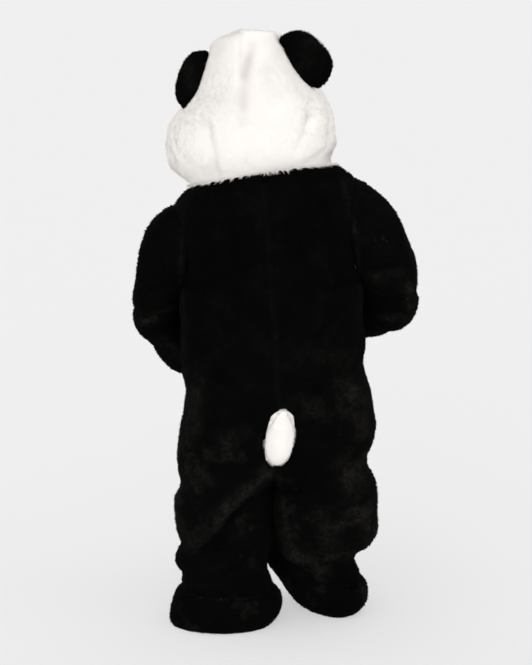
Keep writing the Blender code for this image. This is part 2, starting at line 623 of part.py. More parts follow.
def levels():
    """The drops at which the body's panels have rows, from the neck to the ankle seam."""
    middle, half = (ARMHOLE_TOP + ARMHOLE_LOW) / 2, (ARMHOLE_LOW - ARMHOLE_TOP) / 2
    shoulder = np.linspace(0, ARMHOLE_TOP, 4)[:-1]
    hole = middle - half * np.cos(np.arange(ARMHOLE_STEPS + 1) * np.pi / ARMHOLE_STEPS)
    waist = np.linspace(ARMHOLE_LOW, SEAT, 11)[1:]
    fork = SEAT + (CROTCH - SEAT) * np.sin(np.linspace(0, np.pi / 2, 8))[1:]
    leg = np.linspace(CROTCH, ANKLE, 17)[1:]
    return np.concatenate([shoulder, hole, waist, fork, leg])


def panel(side, half):
    """(outer points, vectors to the inner points) of half the back or front, neck to ankle."""
    drop = levels()[:, None] * np.ones(COLUMNS + 1)
    s = np.linspace(0, 1, COLUMNS + 1) * (1 - armhole_reach(levels()))[:, None]
    ends = np.full(len(drop), 1.0)
    s[:, -1] -= seam_step(side, ends, levels())
    s[:, 0] += np.where(levels() > CROTCH - 1e-6, seam_step(side, 0 * ends, levels()) / 2, 0)
    s = s if half == "back" else 2 - s
    outer, n = body(side, s, drop)
    inward = -n * BODY_WALL

    place, seam_wall, up = neck_seam(side)
    pick = slice(0, COLUMNS + 1) if half == "back" else slice(2 * COLUMNS, COLUMNS - 1, -1)
    outer[0] = place[pick] - up[pick] * SEAM / 2
    outer[0, -1] += (outer[0, -2] - outer[0, -1]) * 0.02
    inward[0] = -seam_wall[pick] * BODY_WALL

    place, seam_wall, out, around = armhole_seam(side)
    first = 3
    for k in range(ARMHOLE_STEPS + 1):
        i = k if half == "back" else (-k) % (2 * ARMHOLE_STEPS)
        outer[first + k, -1] = place[i] - out[i] * SEAM / 2
        inward[first + k, -1] = -seam_wall[i] * BODY_WALL
        if k in (0, ARMHOLE_STEPS):
            away = 1 if (k == 0) == (half == "back") else -1
            outer[first + k, -1] += away * around[i] * SEAM / 2

    outer[-1, :, 2] += SEAM / 2
    return outer, inward


def leg_cuff(side, material):
    """The cuff that hangs over the foot, with its elastic hem turned in."""
    drops = np.array([row.drop for row in BODY[side] if row.drop >= ANKLE - 1e-6])
    s = np.linspace(0, 2, 2 * COLUMNS + 1)[:-1]
    outer, n = body(side, s[None, :], drops[:, None])
    outer[0, :, 2] -= SEAM / 2
    wall("ankle_cuff_" + side, outer, -n * BODY_WALL, material, closed=True)


def sleeve_solid(side, material):
    turn = np.arange(2 * ARMHOLE_STEPS) * np.pi / ARMHOLE_STEPS
    shares = np.concatenate([[0, 0.02], np.linspace(0, 1, SLEEVE_ROWS)[1:-1], [1 - 0.0015]])
    outer, n = sleeve(side, turn[None, :], shares[:, None])
    inward = -n * BODY_WALL
    place, seam_wall, out, _ = armhole_seam(side)
    outer[0] = place + out * SEAM * 0.9
    inward[0] = -seam_wall * BODY_WALL
    inward[-1] = flat_to(inward[-1], direction(side, 1.0))
    part = direction(side, shares[ELBOW_ROW]) * SEAM / 2
    for name, rows, away in (("upper", slice(None, ELBOW_ROW + 1), -1), ("lower", slice(ELBOW_ROW, None), 1)):
        piece = outer[rows].copy()
        piece[-1 if name == "upper" else 0] += away * part
        wall("sleeve_%s_%s" % (side, name), piece, inward[rows], material, closed=True)


def direction(side, share):
    """The way a sleeve's line runs at a share of its length."""
    return smooth(FRAMES[side][0], FRAMES[side][1], np.array(share)).reshape(3, 3)[0]


def flat_to(vectors, axis):
    """Vectors of the same length turned square to an axis."""
    length = np.linalg.norm(vectors, axis=-1, keepdims=True)
    return unit(vectors - (vectors @ axis)[..., None] * axis) * length


def cuff(side, material):
    turn = np.linspace(0, 2 * np.pi, 41)[:-1]
    shares = np.array([1.0, 1.0 + CUFF_SHARE / 2, 1.0 + CUFF_SHARE])
    outer, n = sleeve(side, turn[None, :], shares[:, None], cuff_waves=10)
    outer = outer - n * 0.0006
    wall("cuff_" + side, outer, flat_to(-n, direction(side, 1.0)) * 0.0038, material, closed=True)


# ---------------------------------------------------------------- hood, ears and tail


def hood_solid(side, material):
    u = np.linspace(0, 1, 2 * COLUMNS + 1)
    rise = np.array(HOOD_ROWS)
    outer, n = hood(side, u[None, :], rise[:, None])
    inward = -n * HOOD_WALL
    place, seam_wall, up = neck_seam(side)
    outer[0] = place + up * SEAM / 2
    inward[0] = -seam_wall * BODY_WALL
    return wall("hood_" + side, outer, inward, material)


def tree_of(objects):
    """A surface to drop points on to, made of several solids."""
    verts, faces = [], []
    for obj in objects:
        start = len(verts)
        verts += [v.co.copy() for v in obj.data.vertices]
        faces += [tuple(i + start for i in p.vertices) for p in obj.data.polygons]
    return BVHTree.FromPolygons(verts, faces)


def dropped(tree, place, direction, gap, spread=0.0):
    """Each place moved along direction until it is a gap short of the surface, over its seams."""
    direction = Vector(direction).normalized()
    out = np.empty(place.shape)
    for index in np.ndindex(place.shape[:-1]):
        start = Vector(place[index])
        found = [tree.ray_cast(start + Vector((x, 0, 0)), direction)[3] for x in (-spread, 0, spread)]
        found = [distance for distance in found if distance is not None]
        if not found:
            found = [(tree.find_nearest(start)[0] - start).dot(direction)]
        out[index] = start + direction * (min(found) - gap)
    return out


def ear(side, tree, material):
    """A stuffed D of plush in two halves, on edge along the hood's slope."""
    base, along, out, length, height = EARS[side]
    along, out = unit(np.array(along)), unit(np.array(out))
    facing = unit(np.cross(along, out))
    facing = facing * np.sign(facing[1])
    angle = np.linspace(-1, 1, 11) * np.pi / 2 * 0.93
    across = np.sin(angle)
    lift = np.array([0.0, 0.22, 0.45, 0.66, 0.83, 0.94, 1.0])
    tall = height * (1 - np.abs(across) ** EAR_SQUARE) ** (1 / EAR_SQUARE)
    plump = 0.16 + 0.84 * np.sqrt(1 - across[None, :] ** 2) * np.sqrt(1 - 0.97 * lift[:, None] ** 2)
    spread = 0.74 + 0.26 * ease(lift / 0.45)
    flat = np.array(base) + (spread[:, None] * across)[..., None] * length / 2 * along
    for half, way in (("back", 1), ("front", -1)):
        layers = []
        for depth in (0 * plump + SEAM / 2, plump * EAR_DEPTH / 2):
            start = flat + (way * depth)[..., None] * facing
            foot = dropped(tree, start + out * height * 1.2, -out, EAR_SEAT)
            reach = (flat + tall[:, None] * out - foot) @ out
            layers.append(foot + (lift[:, None] * np.maximum(reach, 0.004))[..., None] * out)
        wall("ear_%s_%s" % (side, half), layers[1], layers[0] - layers[1], material)


def tail(tree, material):
    """The stuffed tail, sewn over the centre back seam and hanging down the seat."""
    a, b = np.meshgrid(np.linspace(-1, 1, 9), np.linspace(-1, 1, 11))
    across, up = a * np.sqrt(1 - b * b / 2), b * np.sqrt(1 - a * a / 2)
    radius = np.sqrt(across**2 + up**2)
    lean = np.array(TAIL_LEAN)
    flat = np.array(TAIL_AT) + (across * TAIL_WIDE / 2)[..., None] * np.array([1.0, 0.0, 0.0])
    flat = flat + (up * TAIL_LONG / 2)[..., None] * unit(lean)
    foot = dropped(tree, flat + np.array([0, 0.3, 0]), (0, -1, 0), TAIL_SEAT, 0.001)
    plump = 0.14 + 0.86 * np.sqrt(np.clip(1 - radius**2, 0, 1)) * (1 - 0.25 * up)
    outer = foot + (plump * TAIL_DEEP)[..., None] * unit(np.array([0, 1.0, -0.08]))
    wall("tail", outer, foot - outer, material)


# ---------------------------------------------------------------- the zip


def tape(side, front, material):
    """The zip's tape, sewn behind the edge of a front: front is that panel's grid."""
    outer, inward = front
    rows = levels() <= ZIP_END
    inner = (outer + inward)[rows]
    edge, next_in = inner[:, 0], inner[:, 1]
    out = -unit(inward[rows][:, 0] * np.array([0.0, 1.0, 1.0]))
    along = unit(next_in - edge)
    at_chain = edge.copy()
    middle = columns(BODY[side], levels()[rows])[0]
    at_chain[:, 0] = middle + SIGN[side] * (CHAIN_WIDE / 2 + SEAM)
    strip = np.stack([at_chain, edge, edge + along * 0.0045, edge + along * 0.009], axis=1)
    strip -= out[:, None] * SEAM * 1.7
    strip[0] += (strip[1] - strip[0]) * 0.06
    wall("zip_tape_" + side, strip, -np.repeat(out[:, None], 4, axis=1) * TAPE_WALL, material)


def zip_line():
    """(places, outward directions) down the middle of the zip, on the chain's front face."""
    drops = np.concatenate([[SLIDER_AT, SLIDER_AT + SLIDER_LONG + 0.003], levels()[4:]])
    drops = np.append(drops[drops < ZIP_END - 0.006], ZIP_END)
    ends = np.full_like(drops, 2.0)
    place = (ring(LEFT, ends, drops) + ring(RIGHT, ends, drops)) / 2
    n = ring_normal(LEFT, ends, drops) + ring_normal(RIGHT, ends, drops)
    out = unit(n * np.array([0.0, 1.0, 1.0]))
    return place - out * (BODY_WALL - CHAIN_PROUD), out


def slider_frame():
    """(origin, across, down, out) at the top of the slider."""
    place, _ = zip_line()
    down = unit(place[1] - place[0])
    out = unit(np.cross(down, np.array([1.0, 0.0, 0.0])))
    out = out * np.sign(-out[1])
    return place[0], unit(np.cross(out, down)), down, out


def chain(material):
    """The closed teeth of both sides as one strip."""
    place, out = zip_line()
    origin, across, down, first_out = slider_frame()
    place[0] += down * 0.0016
    out[0] = first_out
    sideways = np.array([CHAIN_WIDE / 2, 0, 0])
    outer = np.stack([place - sideways, place + sideways], axis=1)
    wall("zip_chain", outer, -np.repeat(out[:, None], 2, axis=1) * CHAIN_DEEP, material)


def slider(material):
    """Two plates joined by a post above the teeth, and a bail in front for the pull."""
    frame = slider_frame()
    long = SLIDER_LONG - 0.001
    plates = [[(-0.0010, low), (-0.0010, low + 0.0011), (long, low + 0.0011), (long, low)] for low in (0.0004, -0.0041)]
    post = [(-0.0006, -0.0035), (-0.0006, 0.0010), (0.0011, 0.0010), (0.0011, -0.0035)]
    bail = [
        (0.0008, 0.0010), (0.0008, 0.0032), (0.0018, 0.0042), (0.0070, 0.0042), (0.0080, 0.0032),
        (0.0080, 0.0010), (0.0066, 0.0010), (0.0066, 0.0026), (0.0060, 0.0033), (0.0026, 0.0033),
        (0.0020, 0.0026), (0.0020, 0.0010),
    ]
    obj = prism("zip_slider", plates[0], SLIDER_WIDE / 2, frame, material)
    cut_or_join(obj, prism("post", post, 0.0021, frame, material), "UNION")
    cut_or_join(obj, prism("plate", plates[1], SLIDER_WIDE / 2, frame, material), "UNION")
    cut_or_join(obj, prism("bail", bail, 0.0012, frame, material), "UNION")


def pull(material):
    """The pull tab, hanging from the bail, with the slot that the bail passes through."""
    origin, across, down, out = slider_frame()
    frame = (origin + out * PULL_OUT, across, down, out)
    half = PULL_WALL / 2
    top, tip = PIVOT_DOWN - 0.0005, PIVOT_DOWN + PULL_LONG
    slab = [(top, -half), (top, half), (tip, half), (tip, -half)]
    slot = [(top + 0.001, -0.002), (top + 0.001, 0.002), (top + 0.0062, 0.002), (top + 0.0062, -0.002)]
    obj = prism("zip_pull", slab, PULL_WIDE / 2, frame, material)
    cut_or_join(obj, prism("slot", slot, 0.0017, frame, material), "DIFFERENCE")


# ---------------------------------------------------------------- the garment


def main():
    black = plush("black_plush", (0.0052, 0.0050, 0.0058), 0.92)
    white = plush("white_plush", (0.90, 0.86, 0.80), 0.90)
    rib = plush("black_cuff_knit", (0.0060, 0.0058, 0.0066), 0.88)
    tape_cloth = plush("black_zip_tape", (0.010, 0.010, 0.011), 0.75)
    teeth = plush("black_zip_plastic", (0.012, 0.012, 0.013), 0.40)
    metal = plush("dark_zip_metal", (0.060, 0.060, 0.065), 0.32, metallic=1.0)
    for side in (LEFT, RIGHT):
        wall("back_" + side, *panel(side, "back"), black)
        front = panel(side, "front")
        wall("front_" + side, *front, black)
        tape(side, front, tape_cloth)
        sleeve_solid(side, black)
        cuff(side, rib)
        leg_cuff(side, black)
    hoods = [hood_solid(side, white) for side in (LEFT, RIGHT)]
    crown = tree_of(hoods)
    for side in (LEFT, RIGHT):
        ear(side, crown, black)
    tail(tree_of([ONESIE.objects["back_left"], ONESIE.objects["back_right"]]), white)
    chain(teeth)
    slider(metal)
    pull(metal)


def plush(name, colour, roughness, metallic=0.0):
    material = bpy.data.materials.new(name)
    material.use_nodes = True
    shader = material.node_tree.nodes["Principled BSDF"]
    shader.inputs["Base Color"].default_value = (*colour, 1.0)
    shader.inputs["Roughness"].default_value = roughness
    shader.inputs["Metallic"].default_value = metallic
    return material


for stray in list(bpy.data.objects):
    bpy.data.objects.remove(stray, do_unlink=True)
ONESIE = bpy.data.collections.new("panda_onesie")
bpy.context.scene.collection.children.link(ONESIE)
main()
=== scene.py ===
"""The panda onesie dressed in plush: the same shape as the CAD model, with backing, pile, seams and zip.

The sizes, tables and shape functions repeat those of the part's source, because nothing else is read
from disk. Every cloth piece is a thin backing with its pile as a piece on it.
"""

import itertools
import math
from collections import namedtuple

import bpy
import numpy as np
from mathutils import Matrix, Vector
from mathutils.bvhtree import BVHTree

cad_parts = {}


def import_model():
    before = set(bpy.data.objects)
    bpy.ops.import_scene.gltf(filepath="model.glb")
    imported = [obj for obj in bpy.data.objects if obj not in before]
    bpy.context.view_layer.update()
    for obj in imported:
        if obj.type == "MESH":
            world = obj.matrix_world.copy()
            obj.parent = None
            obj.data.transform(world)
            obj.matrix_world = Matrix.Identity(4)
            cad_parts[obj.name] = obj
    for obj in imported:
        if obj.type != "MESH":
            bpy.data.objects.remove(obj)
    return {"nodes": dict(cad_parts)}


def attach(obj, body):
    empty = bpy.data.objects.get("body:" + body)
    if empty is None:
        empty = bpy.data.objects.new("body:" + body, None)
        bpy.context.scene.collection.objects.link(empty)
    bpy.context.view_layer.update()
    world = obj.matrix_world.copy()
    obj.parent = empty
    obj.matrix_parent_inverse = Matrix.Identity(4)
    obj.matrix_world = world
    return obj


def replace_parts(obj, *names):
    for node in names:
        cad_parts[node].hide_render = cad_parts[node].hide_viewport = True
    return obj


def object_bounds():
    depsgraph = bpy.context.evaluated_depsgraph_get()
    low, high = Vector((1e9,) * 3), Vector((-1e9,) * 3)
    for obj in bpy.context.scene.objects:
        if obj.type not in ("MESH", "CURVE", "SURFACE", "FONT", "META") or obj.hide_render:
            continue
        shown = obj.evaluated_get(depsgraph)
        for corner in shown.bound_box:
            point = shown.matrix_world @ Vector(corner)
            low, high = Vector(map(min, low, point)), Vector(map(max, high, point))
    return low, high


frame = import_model()
CAD_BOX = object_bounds()
NODES = frame["nodes"]

# ---------------------------------------------------------------- driving sizes

BODY_WALL = 0.006  # black plush, backing and pile together
HOOD_WALL = 0.008  # the white plush has the longer pile
SEAM = 0.0003  # gap between two pieces at a seam

CROTCH = 0.440  # drop of the crotch point
SEAT = 0.352  # drop at which the body starts to part into two legs
ANKLE = 0.597  # drop of the seam between a leg and its cuff
HEM = 0.650  # drop of the leg hems, which reach the floor

ARMHOLE_TOP = 0.022
ARMHOLE_LOW = 0.150
ARMHOLE_MIDDLE = (ARMHOLE_TOP + ARMHOLE_LOW) / 2
ARMHOLE_HALF = (ARMHOLE_LOW - ARMHOLE_TOP) / 2
ARMHOLE_REACH = 0.28  # half the armhole's width, as a share of a half ring
ARMHOLE_STEPS = 10  # faces of the solids down half an armhole

ZIP_END = 0.330  # drop of the zip's lower end
ZIP_HALF = 0.0052  # half the width left open between the fronts
ZIP_CLOSES = 0.012  # length over which that width closes below the zip
FORK_SOFTNESS = 1.1
BOXY = 0.86  # power that squares a ring's corners a little; 1 is an ellipse

NECK_SEAM = 0.0085  # x of the centre seams at the neck
SHOULDER_TILT = 0.155  # the right shoulder is carried higher than the left
NECK_PITCH = 0.20  # the neck seam is lower in front
TILT_FADES = 0.200  # drop at which the tilt and pitch have gone

HEAD_ROLL = math.radians(9.0)
HEAD_TURN = math.radians(-9.0)

SLEEVE_SPRING = 1.5  # how far the sleeve head stands out before it turns down
SLEEVE_HEAD = 0.36  # share of the sleeve over which the armhole's shape rounds into the arm's
CUFF_SHARE = 0.085  # length of a wrist cuff, as a share of the sleeve
CUFF_GATHERS, GATHER_HIGH = 10, 0.0011

EAR_DEPTH = 0.024
EAR_SQUARE = 2.7  # power of an ear's outline; 2 is an ellipse
EAR_SEAT = 0.0006  # gap under the ears, which sit on curved cloth

TAIL_AT = (-0.0155, 0.0, -0.350)
TAIL_ROUND = 0.38  # how round the tail's outline is; 0.5 is an ellipse
TAIL_LEAN = (-0.12, 0.0, 1.0)
TAIL_WIDE, TAIL_LONG, TAIL_DEEP = 0.041, 0.079, 0.026

CHAIN_DEEP = 0.0021
CHAIN_PROUD = 0.0009  # how far the teeth stand out from the inside of the fronts
SLIDER_AT = 0.010  # drop of the slider's top, with the zip done up
SLIDER_LONG = 0.0110

LEFT, RIGHT = "left", "right"
SIGN = {LEFT: 1.0, RIGHT: -1.0}

# ---------------------------------------------------------------- the body, sleeves, hood and ears

# These tables are in millimetres, but for the first column of the sleeves' and hood's.
MM, SHARES = 1000, 1

# A row for each level from the neck down: the drop; the x of the centre seam and of the left and right
# side seams; the y of the side seams; and the y of the ring's back and front ends.
TRUNK = [
    (0, 8.5, 107, -90, 0, 60, -60),
    (10, 8.5, 119, -104, 0, 69, -67),
    (22, 8, 129, -117, 0, 75, -73),
    (60, 6, 127, -124, 0, 84, -81),
    (90, 2.5, 123.5, -126, 0, 88, -85),
    (120, -1, 121, -127.5, 0, 90, -89),
    (150, -4, 120.5, -128.5, 0, 91, -93),
    (190, -7, 121.5, -130, 0, 91, -100),
    (240, -8, 123.5, -136, 0, 91, -107),
    (280, -9, 122.5, -135.5, 0, 96, -111),
    (307, -10, 116.5, -143, 0, 102, -111),
    (340, -11, 121.5, -151, 1, 110, -109),
    (375, -11, 126, -149.5, 2, 115, -105),
]

# The same from the seat down, one side at a time, with the inseam's x below the crotch. The last number
# is how far the inseam swings forwards and the side seam back.
LEGS = {
    LEFT: [
        (398, -10, 128.5, 3, 115, -102, 0),
        (420, -8, 126.5, 3, 112, -98, 0),
        (440, -5.5, 126, 0, 105, -95, 0),
        (458, -4.9, 131, 3, 100, -89, 0),
        (480, -2.8, 131.5, 6, 93, -80, 0),
        (505, -0.8, 130, 8, 86, -72, 0),
        (530, 0.8, 125, 10, 80, -63, 0),
        (555, 4.2, 131.5, 12, 78, -56, 0),
        (580, 1, 122.5, 14, 72, -46, 0),
        (597, -6, 125, 15, 70, -42, 0),
        (606, -14.5, 133, 15, 76, -48, 0),
        (618, -19, 137.5, 15, 80, -52, 0),
        (634, -15, 141, 15, 81, -53, 0),
        (644, -9, 142, 15, 79, -51, 0),
        (650, -3, 139.5, 15, 75, -47, 0),
    ],
    RIGHT: [
        (400, -10, -140.5, 1, 114, -101, 0),
        (418, -8, -144.5, -1, 111, -100, 0),
        (440, -5.5, -150, 0, 105, -95, 0),
        (458, -5.9, -153, -5, 96, -96, 0),
        (480, -4, -154.5, -12, 84, -101, 0),
        (505, -2, -154.5, -20, 70, -106, 0),
        (530, -1.2, -148, -28, 56, -110, -5),
        (546, -2.2, -137, -33, 42, -109, -10),
        (560, 3, -126, -38, 27, -107, -20),
        (580, 3, -127, -44, 15, -105, -35),
        (597, -5, -135, -48, 8, -106, -45),
        (606, -12, -142, -49, 12, -110, -48),
        (618, -20, -144, -49, 14, -113, -50),
        (634, -31, -140, -49, 13, -113, -50),
        (644, -39.5, -130, -49, 8, -108, -50),
        (650, -47, -118, -49, 0, -100, -50),
    ],
}

# The line down the middle of each sleeve, with its half widths: the share of the sleeve; x, y and z;
# half its width across the arm in the plane in which it bends, and at right angles to that.
ARMS = {
    LEFT: [
        (0, 111, 0, -88, 58, 42),
        (0.18, 134, -6, -110, 45, 46),
        (0.36, 155, -18, -166, 33, 47),
        (0.54, 158, -42, -203, 31.5, 43),
        (0.72, 136.5, -88, -241, 38.5, 36),
        (0.88, 117.5, -130, -276, 41.5, 42),
        (1, 99, -156, -291, 32, 32),
        (1.1, 83, -178, -301, 29, 29),
    ],
    RIGHT: [
        (0, -107, 0, -80, 58, 42),
        (0.18, -150, -6, -102, 48, 46),
        (0.36, -171, -15, -146, 36, 48),
        (0.54, -175, -42, -182, 36.5, 46),
        (0.72, -163.5, -88, -202, 39, 41),
        (0.88, -146, -132, -224, 39, 38),
        (1, -133, -160, -238, 31, 31),
        (1.1, -121, -185, -250, 29, 29),
    ],
}

# The hood, from the neck seam (rise 0) to the ridge over the crown (rise 1), before the head is rolled
# and turned: the rise; how far it reaches to the left and right; the x, y and z of the seam up its back;
# how far the edge of the face opening is from the middle; and that edge's y and z.
COURSES = [
    (0, 90, 82, 0, 60, 12, 5.2, -60, -12),
    (0.07, 111, 96, 2, 71, 18, 20, -70, 8),
    (0.16, 123.5, 108, 6, 83, 30, 42, -80, 19),
    (0.28, 128.5, 110.5, 9, 93, 46, 62, -86, 34),
    (0.4, 127, 109, 6, 99, 74, 72, -87, 58),
    (0.48, 119, 104.5, 3, 101, 94, 74, -87, 75),
    (0.54, 101, 97.5, 0, 100, 112, 72.5, -87, 89),
    (0.6, 81, 89, -3, 98, 129, 68, -86, 102),
    (0.7, 64, 78, -5, 90, 155, 60, -84, 122),
    (0.82, 49, 67, -6, 72, 181, 46, -81, 143),
    (0.92, 37.5, 49, -5, 48, 197, 26, -77, 156),
    (1, -4, 4, -4, 30, 204.5, 0, -74, 162),
]

# Each ear: the middle of its base, the way its base runs, the way it stands, its length and height.
EARS = {
    LEFT: ((0.0900, 0.018, 0.1310), (0.31, 0.33, -0.89), (0.94, -0.02, 0.33), 0.083, 0.034),
    RIGHT: ((-0.0390, 0.031, 0.1550), (-0.700, 0.0, -0.714), (-0.71, 0.10, 0.70), 0.085, 0.044),
}


def body_rows(side):
    """The rows of one side of the body, from the neck to the hem, in metres."""
    trunk = np.delete(TRUNK, 3 if side == LEFT else 2, axis=1)
    return np.concatenate([np.pad(trunk, ((0, 0), (0, 1))), LEGS[side]]) / MM


def in_metres(rows):
    """A table whose first column is a share and whose others are in millimetres."""
    return np.array(rows) / ([1] + [MM] * (len(rows[0]) - 1))


BODY = {side: body_rows(side) for side in SIGN}
SLEEVE = {side: in_metres(ARMS[side]) for side in SIGN}
HOOD = in_metres(COURSES)

# ---------------------------------------------------------------- folds, and painted light and shade

VIEWS = {
    "back": (0, (0.0, 1.0, 0.0)),
    "front": (0, (0.0, -1.0, 0.0)),
    "left": (1, (1.0, 0.0, 0.0)),
    "right": (1, (-1.0, 0.0, 0.0)),
}

Fold = namedtuple("Fold", "seen across up to_across to_up width height")


def drawn(height_unit, **views):
    """Folds drawn on elevations. A row has the x (or y, seen from a side) and z of each end, then the
    fold's width and its height, in MM or, for the pile's painted light and shade, in SHARES. A positive
    height is a ridge, or a painted highlight, and a negative one a trough, or painted shade."""
    return [
        Fold(seen, *(length / MM for length in row[:-1]), row[-1] / height_unit)
        for seen, rows in views.items()
        for row in rows
    ]


BODY_FOLDS = drawn(
    MM,
    back=[
        (-85, -30, -98, -85, 12, -4), (-98, -85, -102, -140, 12, -3), (0, -403, 25, -428, 12, 6),
        (25, -428, 70, -468, 12, 8.5), (70, -468, 118, -538, 12, 8), (24, -448, 47, -478, 16, -8),
        (45, -478, 78, -525, 20, -11), (78, -525, 104, -560, 15, -8), (18, -520, 60, -505, 10, 3),
        (46, -372, 52, -402, 11, -4), (90, -450, 120, -430, 11, -4.5), (-13, -425, -24, -481, 9, 5),
        (-24, -481, -34, -538, 9, 6), (-36, -545, -90, -590, 10, 6), (-14, -555, -60, -590, 11, -6),
        (-130, -520, -75, -528, 12, 5), (-122, -545, -70, -546, 9, -5.5),
        (-135, -405, -108, -375, 10, -5), (-60, -420, -85, -480, 14, -3.5), (125, -400, 98, -380, 11, -4),
    ],
    front=[
        (0, -425, 75, -480, 15, 6), (10, -450, 85, -510, 15, -7), (0, -425, -80, -470, 15, 6),
        (-10, -450, -90, -500, 15, -7), (105, -210, 50, -260, 14, -4), (-105, -190, -50, -235, 14, -4),
        (-125, -540, -40, -560, 11, -5.5), (120, -555, 20, -570, 11, -5),
    ],
    left=[(-80, -470, 80, -430, 13, -5), (-60, -530, 70, -530, 12, -3.5)],
    right=[(-100, -430, 80, -405, 13, -5), (-110, -505, 30, -520, 14, 5)],
)

HOOD_FOLDS = drawn(
    MM,
    back=[
        (18, 180, 31, 145, 10, -4), (31, 145, 36, 85, 10, -3), (82, 75, 68, -2, 8, -4.5),
        (-60, 113, -58, 88, 8, -4.5), (-58, 88, -42, 48, 8, -4.5),
    ],
    left=[(-50, 100, 20, 30, 12, -4)],
    right=[(-50, 110, 20, 40, 12, -4)],
)

SLEEVE_FOLDS = drawn(
    MM,
    back=[
        (118, -178, 178, -182, 10, 4), (116, -198, 176, -202, 10, -5.5), (172, -226, 140, -262, 9, -4.5),
        (-162, -84, -130, -78, 10, -4), (-200, -160, -132, -153, 10, 4),
        (-200, -176, -132, -171, 9, -5.5),
    ],
    left=[(-75, -175, 10, -200, 10, -4.5)],
    front=[(120, -200, 165, -210, 10, -5.5), (-205, -175, -140, -180, 10, -5.5)],
    right=[(-40, -116, 45, -122, 24, 4.5), (-80, -145, 10, -175, 10, -4.5)],
)

# Creases too fine for the solids.
BODY_CREASES = drawn(
    MM,
    back=[
        (-60, -45, -72, -120, 8, -2.2), (52, -50, 66, -130, 8, -2), (105, -165, 60, -205, 8, -2),
        (-112, -170, -70, -215, 8, -2.4), (112, -262, 50, -285, 8, -2.4),
        (-126, -255, -60, -300, 9, -2.6), (110, -325, 62, -350, 9, -2.2),
        (-140, -340, -80, -355, 9, -2.6), (118, -455, 100, -500, 8, -2.8), (20, -545, 62, -560, 8, -3),
        (70, -570, 110, -583, 7, -3), (-120, -440, -70, -452, 9, -2.8), (-138, -478, -90, -490, 9, -2.6),
        (-50, -500, -62, -535, 8, -2.8), (-100, -565, -52, -578, 7, -3),
    ],
    front=[
        (100, -110, 45, -150, 9, -2.6), (-105, -100, -45, -145, 9, -2.6), (108, -290, 40, -325, 9, -2.6),
        (-120, -285, -45, -320, 9, -2.8), (110, -370, 30, -400, 10, -3), (-130, -375, -35, -402, 10, -3),
        (110, -520, 50, -535, 8, -2.8), (-130, -500, -70, -520, 8, -3),
    ],
    left=[
        (-50, -250, 50, -275, 10, -2.6), (-70, -350, 60, -330, 10, -2.8), (-40, -565, 55, -572, 8, -3),
        (20, -165, 20, -182, 20, 3.5), (30, -425, 30, -462, 40, 3.2), (30, -530, 30, -570, 40, 2.6),
    ],
    right=[
        (-60, -240, 55, -270, 10, -2.6), (-75, -340, 60, -325, 10, -2.8), (-90, -560, 0, -570, 8, -3),
        (20, -143, 20, -165, 20, 3.5), (30, -425, 30, -462, 40, 3.2), (30, -530, 30, -570, 40, 2.6),
    ],
)

HOOD_CREASES = drawn(
    MM,
    back=[
        (0, 150, -14, 110, 7, -1.2), (-30, 150, -50, 125, 7, -1.6), (60, 120, 72, 80, 7, -0.8),
        (-58, 100, -43, 50, 8, 2),
    ],
    left=[(30, 60, 60, 10, 8, -2.2), (-70, 60, -30, 15, 8, -2.2)],
    right=[(35, 70, 60, 15, 8, -2.2), (-70, 70, -30, 20, 8, -2.2)],
)

SLEEVE_CREASES = drawn(
    MM,
    back=[
        (128, -150, 170, -158, 7, -2.6), (120, -216, 168, -222, 7, -2.8),
        (-186, -122, -150, -128, 7, -2.6), (-196, -196, -142, -190, 7, -2.8),
    ],
    front=[
        (112, -170, 166, -178, 8, -2.6), (120, -235, 150, -262, 8, -2.6),
        (-190, -150, -140, -152, 8, -2.6), (-180, -205, -140, -216, 8, -2.6),
    ],
    left=[(-110, -215, -50, -245, 8, -2.6)],
    right=[(-110, -175, -50, -205, 8, -2.6)],
)

# Painted highlights (above 0) on lit ridges, elbows and ears of the black pile; painted shade below 0.
PAINTED_LIGHT_AND_SHADE = drawn(
    SHARES,
    back=[
        (-40, 150, -58, 188, 11, 0.55), (-80, 125, -70, 110, 8, 0.55), (100, 110, 112, 165, 9, 0.55),
        (6, -409, 52, -463, 3.5, 0.6), (52, -463, 108, -533, 3.5, 0.6), (0, -400, 55, -455, 11, 0.9),
        (55, -455, 115, -525, 11, 0.9), (20, -470, 90, -560, 30, -0.9), (70, -590, 60, -630, 50, -0.6),
        (-14, -415, -30, -520, 3, 0.7), (-28, -525, -80, -570, 9, 0.7), (-75, -475, -95, -530, 16, 0.7),
        (-115, -290, -135, -355, 14, 0.9), (-100, -390, -118, -440, 12, 0.7),
        (-135, -475, -145, -515, 10, 0.9), (100, -300, 115, -385, 12, 0.7), (30, -345, 62, -352, 10, 0.5),
        (80, -415, 120, -430, 9, 0.6), (117, -15, 121, -110, 3, 0.35), (121, -110, 119, -245, 4, 0.55),
        (-100, 5, -120, -70, 3.5, 0.45), (-120, -70, -131, -190, 3.5, 0.4), (7, -5, -10, -210, 2.8, 0.3),
        (-10, -210, -13, -300, 2.8, 0.3), (142, -190, 178, -210, 11, 1.1),
        (122, -275, 158, -245, 10, 1.1), (-145, -137, -188, -132, 8, 0.55),
        (-142, -202, -190, -208, 9, 1.2), (-196, -152, -206, -190, 9, 1.3),
    ],
    left=[(-30, -400, 50, -500, 16, 0.7)],
    right=[(-20, -330, 60, -420, 16, 0.7)],
    front=[(-100, -430, -40, -500, 14, 0.7), (95, -400, 40, -470, 14, 0.7)],
)

# Painted shade on the white pile: down the middle groove, in two creases, and the shadow under an ear.
SHADE = drawn(
    SHARES,
    back=[
        (21.5, 186, 32, 150, 6, 0.45), (28.5, 168, 34.5, 110, 8, 0.4), (33, 135, 35, 78, 8.5, 0.35),
        (-14, 182, -46, 148, 7, 0.6), (80, 88, 65.5, 4, 2.8, 0.55), (-60, 118, -43.4, 57, 6, 0.1),
    ],
)

# ---------------------------------------------------------------- small maths


